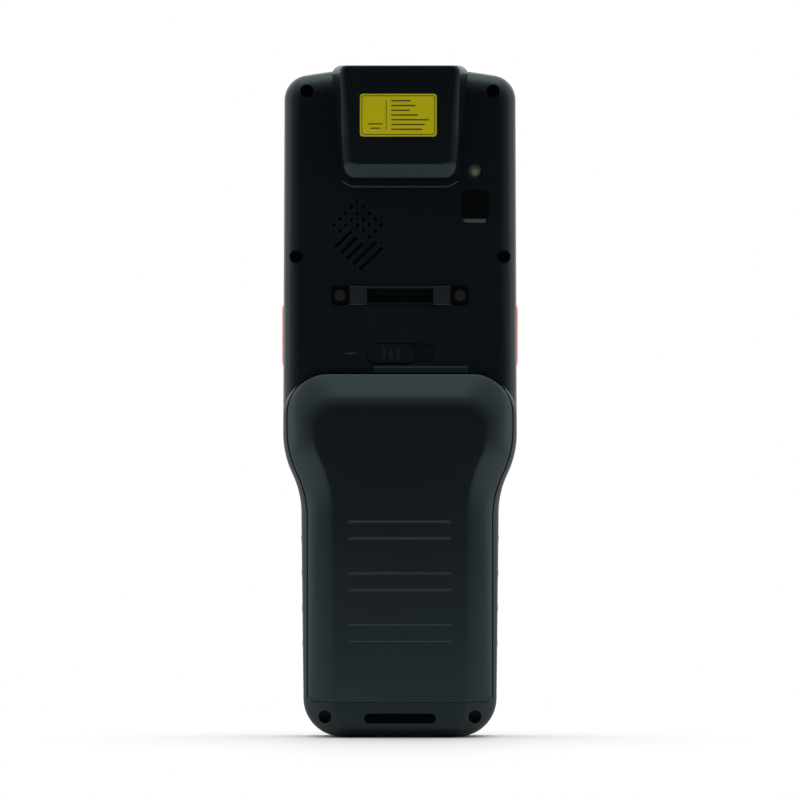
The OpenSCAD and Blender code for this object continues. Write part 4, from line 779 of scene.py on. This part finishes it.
def flash_lens():
    """Domed lens of the flash with the bright chip that shines through it."""
    x, z = CAMERA[0], FLASH_Z
    top = BACK_Y + 0.3
    lens = sweep("flash_dome", disc(x, z, FLASH_D - 0.1), (
        (INNER_BACK_Y + 0.1, 0), (top + 0.55, 0), (top + 0.28, 0.12), (top + 0.12, 0.4), (top + 0.04, 0.8),
        (top, 1.3)))
    combine(lens, bar("flange", disc(x, z, FLASH_D + 1.2), INNER_BACK_Y + FIT, INNER_BACK_Y + 0.8), "UNION")
    finish_piece(lens, "housing", "lens_clear", "flash_lens", material="flash_clear")
    glow = sweep("flash_chip", disc(x, z - 0.3, 2.0), ((top + 0.1, 0), (top - 0.02, 0), (top - 0.05, 0.5)))
    finish_piece(glow, "housing", "lens_clear", material="flash_core")


def hood_label():
    """Label with a border, a divider and plain rules."""
    x, z = LABEL
    plate = sweep("label_plate", rounded(x, z, LABEL_W, LABEL_H, LABEL_R), (
        (CREST_Y + LABEL_DEPTH, 0), (CREST_Y + 0.06, 0), (CREST_Y + 0.02, 0.05)))
    finish_piece(plate, "housing", "label_yellow", "hood_label")
    deep, shown = CREST_Y + 0.03, CREST_Y + 0.005
    border = bar("border", rounded(x, z, LABEL_W - 1, LABEL_H - 1, LABEL_R - 0.2), deep, shown)
    inside = rounded(x, z, LABEL_W - 1.44, LABEL_H - 1.44, LABEL_R - 0.35)
    cut(border, bar("inside", inside, deep + 1, shown - 1))
    marks = [((-4.25, -4.03), z, 4.4)]
    marks += [((-2.6, right), z + 4.3 - row * 1.42, 0.2)
              for row, right in enumerate((3.2, 4.6, 3, 5.4, 8.6, 7.4, 6.6))]
    marks += [((-7.4 - half, -7.4 + half), z - 2.6 - row * 1.3, 0.18) for row, half in enumerate((2.2, 1.5))]
    rules = [block("rule", ends, (shown, deep), (at - half, at + half)) for ends, at, half in marks]
    finish_piece(join("label_print", [border] + rules), "housing", "label_yellow", material="print_dark")


# ---- Shader node groups

def new_group(name, inputs, outputs):
    """An empty shader group: inputs are (name, kind, default), outputs are (name, kind)."""
    tree = bpy.data.node_groups.new(name, "ShaderNodeTree")
    for label, kind, default in inputs:
        socket = tree.interface.new_socket(label, in_out="INPUT", socket_type=kind)
        socket.default_value = default
    for label, kind in outputs:
        tree.interface.new_socket(label, in_out="OUTPUT", socket_type=kind)
    start = tree.nodes.new("NodeGroupInput")
    end = tree.nodes.new("NodeGroupOutput")
    start.location, end.location = (-800, 0), (600, 0)
    return tree, start, end


def set_values(made, **values):
    """Sets a node's own properties by name, and its inputs by their names with _ for a space."""
    for key, value in values.items():
        if hasattr(made, key):
            setattr(made, key, value)
        else:
            made.inputs[key.replace("_", " ")].default_value = value


def node(tree, kind, place=(0, 0), **values):
    made = tree.nodes.new(kind)
    made.location = place
    set_values(made, **values)
    return made


def math_node(tree, operation, a, b, place=(0, 0), clamp=False):
    """A Math node; a and b are numbers or sockets."""
    made = node(tree, "ShaderNodeMath", place, operation=operation, use_clamp=clamp)
    for socket, value in zip(made.inputs, (a, b)):
        if isinstance(value, (int, float)):
            socket.default_value = value
        else:
            link(tree, value, socket)
    return made.outputs[0]


def moulded_grain():
    """Shared group: fine spark-eroded grain of moulded plastic, with a slow change of gloss."""
    if "moulded_grain" in bpy.data.node_groups:
        return bpy.data.node_groups["moulded_grain"]
    tree, start, end = new_group(
        "moulded_grain",
        (("Grain Size", "NodeSocketFloat", 0.25 * MM), ("Gloss Change", "NodeSocketFloat", 0.05),
         ("Roughness", "NodeSocketFloat", 0.45)),
        (("Height", "NodeSocketFloat"), ("Roughness", "NodeSocketFloat"), ("Tone", "NodeSocketFloat")))
    coord = node(tree, "ShaderNodeTexCoord", (-800, -300))
    scale = math_node(tree, "DIVIDE", 1.0, start.outputs["Grain Size"], (-600, 200))
    grain = node(tree, "ShaderNodeTexNoise", (-400, 200), Detail=2.0, Roughness=0.6)
    pits = node(tree, "ShaderNodeTexVoronoi", (-400, 0))
    slow = node(tree, "ShaderNodeTexNoise", (-400, -300), Scale=38.0, Detail=3.0, Roughness=0.5)
    for texture in (grain, pits, slow):
        link(tree, coord.outputs["Object"], texture.inputs["Vector"])
    for texture in (grain, pits):
        link(tree, scale, texture.inputs["Scale"])
    height = math_node(tree, "MULTIPLY_ADD", grain.outputs["Fac"], 0.7, (-100, 200))
    link(tree, pits.outputs["Distance"], height.node.inputs[2])
    link(tree, height, end.inputs["Height"])
    centred = math_node(tree, "SUBTRACT", slow.outputs["Fac"], 0.5, (-200, -300))
    shift = math_node(tree, "MULTIPLY", centred, start.outputs["Gloss Change"], (0, -300))
    rough = math_node(tree, "ADD", shift, start.outputs["Roughness"], (200, -300), clamp=True)
    link(tree, rough, end.inputs["Roughness"])
    link(tree, slow.outputs["Fac"], end.inputs["Tone"])
    return tree


# ---- Materials

def new_material(name):
    material = bpy.data.materials.new(name)
    material.use_nodes = True
    tree = material.node_tree
    shader = tree.nodes["Principled BSDF"]
    return material, tree, shader


def moulded(name, colour, roughness=0.45, grain=0.25, depth=0.012, specular=0.5, tone=0.15, change=0.08,
            painted_reflection_tint=(1, 1, 1)):
    """Moulded plastic or rubber: colour with a slight change of tone, fine grain and a change of gloss.

    grain and depth are in millimetres."""
    material, tree, shader = new_material(name)
    # the tint is painted onto the reflections, in place of a tint of the light
    set_values(shader, Specular_IOR_Level=specular, Specular_Tint=(*painted_reflection_tint, 1))
    moulding = node(tree, "ShaderNodeGroup", (-500, 0), node_tree=moulded_grain(), Grain_Size=grain * MM,
                    Gloss_Change=change, Roughness=roughness)
    mix = node(tree, "ShaderNodeMix", (-250, 200), data_type="RGBA")
    mix.inputs[6].default_value = (*[c * (1 - tone) for c in colour], 1)
    mix.inputs[7].default_value = (*[c * (1 + tone) for c in colour], 1)
    link(tree, moulding.outputs["Tone"], mix.inputs[0])
    link(tree, mix.outputs[2], shader.inputs["Base Color"])
    link(tree, moulding.outputs["Roughness"], shader.inputs["Roughness"])
    bump = node(tree, "ShaderNodeBump", (-250, -200), Strength=1.0, Distance=depth * MM)
    link(tree, moulding.outputs["Height"], bump.inputs["Height"])
    link(tree, bump.outputs["Normal"], shader.inputs["Normal"])
    return material


def painted_cool_reflection_plastic(name, *values):
    """Moulded plastic whose reflections are painted a cool blue: a painted reflection tint that stands in for
    cool studio light.
    """
    return moulded(name, *values, painted_reflection_tint=(0.68, 0.95, 1.0))


def metal(name, colour, roughness=0.35):
    material = moulded(name, colour, roughness, 0.1, 0.004, tone=0.08, change=0.2)
    set_values(material.node_tree.nodes["Principled BSDF"], Metallic=1.0)
    return material


def clear(name, colour, roughness=0.05, transmission=1.0, ior=1.5):
    """Glass or clear plastic, with faint smudges."""
    material = moulded(name, colour, roughness, 0.6, 0.0005, tone=0.02, change=0.03)
    set_values(material.node_tree.nodes["Principled BSDF"], Transmission_Weight=transmission, IOR=ior)
    return material


# Each slot's kind of material, its colour and the values that differ from that kind's own
MATERIALS = {
    # the cool plastics below have a painted cool tint on their reflections
    "housing_plastic": (painted_cool_reflection_plastic, (0.004, 0.006, 0.0078), 0.24, 0.22, 0.004, 0.36),
    "front_plastic": (painted_cool_reflection_plastic, (0.0055, 0.008, 0.010), 0.27, 0.22, 0.004, 0.36),
    "pack_plastic": (painted_cool_reflection_plastic, (0.005, 0.0073, 0.0095), 0.25, 0.22, 0.004, 0.42),
    # near black painted into the pockets of the strap bracket: painted shade
    "pocket_black": (moulded, (0.0012, 0.0016, 0.002), 0.5, 0.22, 0.004, 0.1),
    # lighter copy of the housing plastic: painted light on the raised strap bracket
    "bracket_plastic": (painted_cool_reflection_plastic, (0.0095, 0.0125, 0.0145), 0.34, 0.22, 0.006, 0.4),
    "inner_plastic": (moulded, (0.02, 0.02, 0.021), 0.55, 0.3, 0.01),
    "seal_rubber": (moulded, (0.012, 0.012, 0.013), 0.7, 0.15, 0.01),
    "grip_rubber": (moulded, (0.012, 0.014, 0.016), 0.62, 0.18, 0.012, 0.35),
    "screw_steel": (metal, (0.03, 0.032, 0.036), 0.45),
    "screw_bright": (metal, (0.055, 0.06, 0.065)),
    "scan_glass": (clear, (0.35, 0.03, 0.05), 0.04, 0.85),
    "camera_glass": (clear, (0.001, 0.0015, 0.002), 0.05, 0.3),
    "display_glass": (clear, (0.03, 0.03, 0.033), 0.03, 0.3),
    "display_panel": (moulded, (0.012, 0.014, 0.02), 0.15, 0.4, 0.001, 0.5),
    "label_yellow": (moulded, (0.59, 0.525, 0.0), 0.38, 0.5, 0.002, 0.4, 0.03),
    "lens_clear": (clear, (0.85, 0.85, 0.8), 0.25, 0.6, 1.45),
    "flash_clear": (moulded, (0.06, 0.07, 0.05), 0.22, 0.5, 0.002, 0.4),
    "flash_core": (moulded, (0.13, 0.135, 0.1), 0.3, 0.5, 0.002, 0.4),
    "led_yellow": (moulded, (0.75, 0.6, 0.18), 0.35, 0.3, 0.004),
    "mesh_metal": (metal, (0.012, 0.012, 0.014), 0.55),
    "board_green": (moulded, (0.01, 0.12, 0.05), 0.35, 0.5, 0.004),
    "can_metal": (metal, (0.55, 0.56, 0.57)),
    "dome_film": (moulded, (0.5, 0.51, 0.48), 0.3, 0.5, 0.004),
    "frame_alloy": (metal, (0.5, 0.52, 0.54), 0.5),
    "contact_gold": (metal, (0.8, 0.58, 0.22), 0.25),
    "cell_wrap": (moulded, (0.03, 0.13, 0.3), 0.35, 0.5, 0.004),
    "bolt_steel": (metal, (0.42, 0.43, 0.45)),
    "key_orange": (moulded, (0.72, 0.16, 0.01), 0.5, 0.2, 0.006),
    "key_red": (moulded, (0.42, 0.03, 0.02), 0.5, 0.2, 0.006),
    "key_grey": (moulded, (0.10, 0.11, 0.12), 0.5, 0.2, 0.006),
    "key_dark": (moulded, (0.03, 0.033, 0.037), 0.5, 0.2, 0.006),
    "print_white": (moulded, (0.72, 0.72, 0.70), 0.45, 0.2, 0.002),
    "print_dark": (moulded, (0.05, 0.045, 0.004), 0.45, 0.2, 0.002),
}
FINISHES = {"strap_bracket_screws": "screw_bright"}
MADE = {}


def finish_material(slot):
    """The material of a slot of the record, made when it is first asked for."""
    if slot not in MADE:
        kind, *values = MATERIALS[slot]
        MADE[slot] = kind(slot, *values)
    return MADE[slot]


def smooth_group():
    """Geometry nodes that shade smooth and keep edges over an angle sharp."""
    tree = bpy.data.node_groups.new("smooth_under_angle", "GeometryNodeTree")
    tree.interface.new_socket("Geometry", in_out="INPUT", socket_type="NodeSocketGeometry")
    tree.interface.new_socket("Geometry", in_out="OUTPUT", socket_type="NodeSocketGeometry")
    start, end = tree.nodes.new("NodeGroupInput"), tree.nodes.new("NodeGroupOutput")
    faces = node(tree, "GeometryNodeSetShadeSmooth", (0, 0), domain="FACE")
    edges = node(tree, "GeometryNodeSetShadeSmooth", (200, 0), domain="EDGE")
    angle = node(tree, "GeometryNodeInputMeshEdgeAngle", (-200, -200))
    test = node(tree, "FunctionNodeCompare", (0, -200), operation="LESS_THAN")
    test.inputs[1].default_value = radians(32)
    link(tree, start.outputs[0], faces.inputs[0])
    link(tree, faces.outputs[0], edges.inputs[0])
    link(tree, angle.outputs["Unsigned Angle"], test.inputs[0])
    link(tree, test.outputs[0], edges.inputs["Shade Smooth"])
    link(tree, edges.outputs[0], end.inputs[0])
    return tree


def rounded_edges(obj, width, smooth):
    """Live modifiers that close a CAD mesh, round its sharp edges and shade it smooth."""
    modifier(obj, "WELD", "close", merge_threshold=2e-6)
    modifier(obj, "DECIMATE", "flats", decimate_type="DISSOLVE", angle_limit=radians(0.5))
    modifier(obj, "NODES", "smooth", node_group=smooth)
    if width:
        modifier(obj, "BEVEL", "edges", width=width, segments=2, limit_method="ANGLE",
                 angle_limit=radians(40), harden_normals=True, use_clamp_overlap=True)
    modifier(obj, "WEIGHTED_NORMAL", "even", keep_sharp=True, weight=80)


# ---- Stage

def build_floor(size):
    """Pale floor that fades to white away from the terminal, for the camera only."""
    bpy.ops.object.select_all(action="DESELECT")
    bpy.ops.mesh.primitive_plane_add(size=size, location=(0, 0, 0))
    floor = bpy.context.object
    floor.name = "studio_floor"
    material, tree, shader = new_material("studio_floor")
    set_values(shader, Base_Color=(0.8, 0.8, 0.8, 1), Roughness=0.6, Specular_IOR_Level=0.1)
    coord = node(tree, "ShaderNodeTexCoord", (-900, -200))
    length = node(tree, "ShaderNodeVectorMath", (-700, -200), operation="LENGTH")
    fade = node(tree, "ShaderNodeMapRange", (-500, -200), interpolation_type="SMOOTHSTEP", From_Min=0.08,
                From_Max=0.30)
    path = node(tree, "ShaderNodeLightPath", (-500, 200))
    white = node(tree, "ShaderNodeEmission", (-200, -200), Strength=1.0)
    mix = node(tree, "ShaderNodeMixShader", (100, 0))
    link(tree, coord.outputs["Object"], length.inputs[0])
    link(tree, length.outputs["Value"], fade.inputs["Value"])
    link(tree, math_node(tree, "MULTIPLY", fade.outputs["Result"], path.outputs["Is Camera Ray"]),
         mix.inputs["Fac"])
    link(tree, shader.outputs[0], mix.inputs[1])
    link(tree, white.outputs[0], mix.inputs[2])
    link(tree, mix.outputs[0], tree.nodes["Material Output"].inputs["Surface"])
    floor.data.materials.append(material)


def build_world(settings):
    """White background, and a studio that is bright behind the terminal and dim on the viewer's side."""
    world = bpy.data.worlds.new("studio")
    world.use_nodes = True
    bpy.context.scene.world = world
    tree = world.node_tree
    tree.nodes.clear()
    coord = node(tree, "ShaderNodeTexCoord", (-1000, 0))
    split = node(tree, "ShaderNodeSeparateXYZ", (-800, 0))
    link(tree, coord.outputs["Generated"], split.inputs[0])
    facing = math_node(tree, "MULTIPLY", split.outputs["Y"], -1.0, (-600, 0))
    ring = node(tree, "ShaderNodeMapRange", (-400, 0), From_Min=-0.1, From_Max=1.0,
                To_Min=settings.ring_light, To_Max=settings.front_light)
    link(tree, facing, ring.inputs["Value"])
    soft = node(tree, "ShaderNodeBackground", (-100, 100))
    height = node(tree, "ShaderNodeMapRange", (-600, -200), From_Min=0.1, From_Max=0.9,
                  To_Min=settings.side_light, To_Max=1.0)
    link(tree, split.outputs["Z"], height.inputs["Value"])
    link(tree, math_node(tree, "MULTIPLY", ring.outputs["Result"], height.outputs["Result"], (-250, 0)),
         soft.inputs["Strength"])
    seen = node(tree, "ShaderNodeBackground", (-100, -100))
    for background in (soft, seen):
        set_values(background, Color=(1, 1, 1, 1))
    path = node(tree, "ShaderNodeLightPath", (-400, 300))
    shown = math_node(tree, "MAXIMUM", path.outputs["Is Camera Ray"], path.outputs["Is Transmission Ray"],
                      (-100, 300))
    mix = node(tree, "ShaderNodeMixShader", (200, 0))
    out = node(tree, "ShaderNodeOutputWorld", (400, 0))
    link(tree, shown, mix.inputs["Fac"])
    link(tree, soft.outputs[0], mix.inputs[1])
    link(tree, seen.outputs[0], mix.inputs[2])
    link(tree, mix.outputs[0], out.inputs["Surface"])


def build_lamps(aim, settings):
    """A softbox overhead and one at each side."""
    for name, place, size, power in (
            ("top_softbox", (0, -0.1, 1.3), (1.1, 0.8), settings.top_power),
            ("left_softbox", (-1.3, 0.05, 0.4), (0.5, 1.2), settings.side_power),
            ("right_softbox", (1.3, 0.05, 0.4), (0.5, 1.2), settings.side_power)):
        data = bpy.data.lights.new(name, "AREA")
        data.shape, data.size, data.size_y, data.energy = "RECTANGLE", size[0], size[1], power
        lamp = bpy.data.objects.new(name, data)
        bpy.context.scene.collection.objects.link(lamp)
        lamp.location = place
        lamp.rotation_euler = (aim - Vector(place)).to_track_quat("-Z", "Y").to_euler()


def build_camera(aim, settings):
    """Long lens, square to the back of the terminal and a little over it."""
    scene = bpy.context.scene
    data = bpy.data.cameras.new("long_lens")
    camera = bpy.data.objects.new("long_lens", data)
    scene.collection.objects.link(camera)
    tilt = radians(settings.camera_height)
    away = Vector((0, -cos(tilt), sin(tilt)))
    camera.location = aim + away * settings.camera_distance
    camera.rotation_euler = (-away).to_track_quat("-Z", "Y").to_euler()
    data.lens = data.sensor_width * settings.camera_distance / settings.frame_width
    data.clip_end = 100
    scene.camera = camera
    scene.view_settings.view_transform = "Standard"


class FinishSettings(bpy.types.PropertyGroup):
    rib_height: bpy.props.FloatProperty(
        name="Grip Line Height", description="Height of the lines across the battery pack", default=0.2 * MM,
        unit="LENGTH", precision=5)
    print_height: bpy.props.FloatProperty(
        name="Print Height", description="Size of the numbers on the keys", default=5 * MM, unit="LENGTH",
        precision=5)
    edge_width: bpy.props.FloatProperty(
        name="Edge Rounding", description="Rounding of the edges of the fixed parts", default=0.12 * MM,
        unit="LENGTH", precision=5)


class StageSettings(bpy.types.PropertyGroup):
    floor_size: bpy.props.FloatProperty(
        name="Floor Size", description="Length of each side of the floor", default=0.74, unit="LENGTH")
    aim_height: bpy.props.FloatProperty(
        name="Aim Height", description="Height that the camera looks at", default=0.10095, unit="LENGTH")
    camera_distance: bpy.props.FloatProperty(
        name="Camera Distance", description="Distance from the camera to the terminal", default=6.0,
        unit="LENGTH")
    camera_height: bpy.props.FloatProperty(
        name="Camera Elevation", description="Angle of the camera over the horizon, in degrees", default=0.8)
    frame_width: bpy.props.FloatProperty(
        name="Frame Width", description="Width that the picture covers at the terminal", default=0.24,
        unit="LENGTH")
    top_power: bpy.props.FloatProperty(
        name="Top Light", description="Power of the softbox overhead, in watts", default=2.5)
    side_power: bpy.props.FloatProperty(
        name="Side Lights", description="Power of each softbox at the sides, in watts", default=0.8)
    ring_light: bpy.props.FloatProperty(
        name="Overhead Light", description="Brightness of the studio above", default=1.7)
    side_light: bpy.props.FloatProperty(
        name="Side Share", description="Share of the overhead light that comes from the sides", default=0.6)
    front_light: bpy.props.FloatProperty(
        name="Front Light", description="Brightness of the studio on the viewer's side", default=0.06)


class TERMINAL_OT_stage(bpy.types.Operator):
    """Set up the floor, the studio light and the camera"""
    bl_idname = "terminal.stage"
    bl_label = "Stage"

    def execute(self, context):
        settings = context.scene.terminal_stage
        aim = Vector((0, 0, settings.aim_height))
        build_floor(settings.floor_size)
        build_world(settings)
        build_lamps(aim, settings)
        build_camera(aim, settings)
        return {"FINISHED"}


class TERMINAL_OT_rear_shell(bpy.types.Operator):
    """Build the rear shell with its hood, sound holes, wells and battery bay"""
    bl_idname = "terminal.rear_shell"
    bl_label = "Rear Shell"

    def execute(self, context):
        rear_shell()
        return {"FINISHED"}


class TERMINAL_OT_battery_cover(bpy.types.Operator):
    """Build the rounded cover of the battery pack with its grip lines"""
    bl_idname = "terminal.battery_cover"
    bl_label = "Battery Cover"

    def execute(self, context):
        battery_cover(context.scene.terminal_finish.rib_height)
        return {"FINISHED"}


class TERMINAL_OT_front_shell(bpy.types.Operator):
    """Build the front shell with its display recess and key holes"""
    bl_idname = "terminal.front_shell"
    bl_label = "Front Shell"

    def execute(self, context):
        front_shell()
        return {"FINISHED"}


class TERMINAL_OT_strap_bracket(bpy.types.Operator):
    """Build the strap bracket"""
    bl_idname = "terminal.strap_bracket"
    bl_label = "Strap Bracket"

    def execute(self, context):
        strap_bracket()
        return {"FINISHED"}


class TERMINAL_OT_latch_knob(bpy.types.Operator):
    """Build the latch knob"""
    bl_idname = "terminal.latch_knob"
    bl_label = "Latch Knob"

    def execute(self, context):
        latch_knob()
        return {"FINISHED"}


class TERMINAL_OT_side_grips(bpy.types.Operator):
    """Build the two ridged rubber strips"""
    bl_idname = "terminal.side_grips"
    bl_label = "Side Grips"

    def execute(self, context):
        side_grip(-1, "side_grip_left")
        side_grip(1, "side_grip_right")
        return {"FINISHED"}


class TERMINAL_OT_side_keys(bpy.types.Operator):
    """Build the two side scan keys"""
    bl_idname = "terminal.side_keys"
    bl_label = "Side Keys"

    def execute(self, context):
        side_key(-1, "side_key_left")
        side_key(1, "side_key_right")
        return {"FINISHED"}


class TERMINAL_OT_front_keys(bpy.types.Operator):
    """Build the keys of the keypad with their plain numbers"""
    bl_idname = "terminal.front_keys"
    bl_label = "Front Keys"

    def execute(self, context):
        for name, x, z, w, h, slot, mark in KEYS:
            front_key(name, x, z, w, h, slot)
            if mark:
                key_print(name, x, z, mark, context.scene.terminal_finish.print_height / MM)
        return {"FINISHED"}


class TERMINAL_OT_flash_lens(bpy.types.Operator):
    """Build the domed lens of the camera flash"""
    bl_idname = "terminal.flash_lens"
    bl_label = "Flash Lens"

    def execute(self, context):
        flash_lens()
        return {"FINISHED"}


class TERMINAL_OT_label(bpy.types.Operator):
    """Build the plain yellow label on the hood"""
    bl_idname = "terminal.label"
    bl_label = "Label"

    def execute(self, context):
        hood_label()
        return {"FINISHED"}


class TERMINAL_OT_fixed_parts(bpy.types.Operator):
    """Give every part of the frame its material, rounded edges and smooth shading"""
    bl_idname = "terminal.fixed_parts"
    bl_label = "Fixed Parts"

    def execute(self, context):
        slots = {row["node"]: row["material_slot"] for row in frame["record"]["subparts"]}
        smooth = smooth_group()
        for name, obj in NODES.items():
            obj.data.materials.clear()
            obj.data.materials.append(finish_material(FINISHES.get(name, slots[name])))
            rounded_edges(obj, context.scene.terminal_finish.edge_width, smooth)
        return {"FINISHED"}


class TERMINAL_PT_panel(bpy.types.Panel):
    """Panel that lists the steps"""
    bl_label = "Terminal"
    bl_idname = "TERMINAL_PT_panel"
    bl_space_type = "VIEW_3D"
    bl_region_type = "UI"
    bl_category = "Terminal"

    def draw(self, context):
        for step in STEPS:
            self.layout.operator(step.bl_idname)
        for settings in (context.scene.terminal_finish, context.scene.terminal_stage):
            for name in settings.__annotations__:
                self.layout.prop(settings, name)


STEPS = (TERMINAL_OT_rear_shell, TERMINAL_OT_battery_cover, TERMINAL_OT_front_shell,
         TERMINAL_OT_strap_bracket, TERMINAL_OT_latch_knob, TERMINAL_OT_side_grips, TERMINAL_OT_side_keys,
         TERMINAL_OT_front_keys, TERMINAL_OT_flash_lens, TERMINAL_OT_label, TERMINAL_OT_fixed_parts,
         TERMINAL_OT_stage)
CLASSES = (FinishSettings, StageSettings, *STEPS, TERMINAL_PT_panel)


def register():
    for cls in CLASSES:
        bpy.utils.register_class(cls)
    bpy.types.Scene.terminal_finish = bpy.props.PointerProperty(type=FinishSettings)
    bpy.types.Scene.terminal_stage = bpy.props.PointerProperty(type=StageSettings)


def unregister():
    del bpy.types.Scene.terminal_stage
    del bpy.types.Scene.terminal_finish
    for cls in reversed(CLASSES):
        bpy.utils.unregister_class(cls)


def main():
    register()
    for step in STEPS:
        group_name, _, action = step.bl_idname.partition(".")
        getattr(getattr(bpy.ops, group_name), action)()


if __name__ == "__main__":
    main()
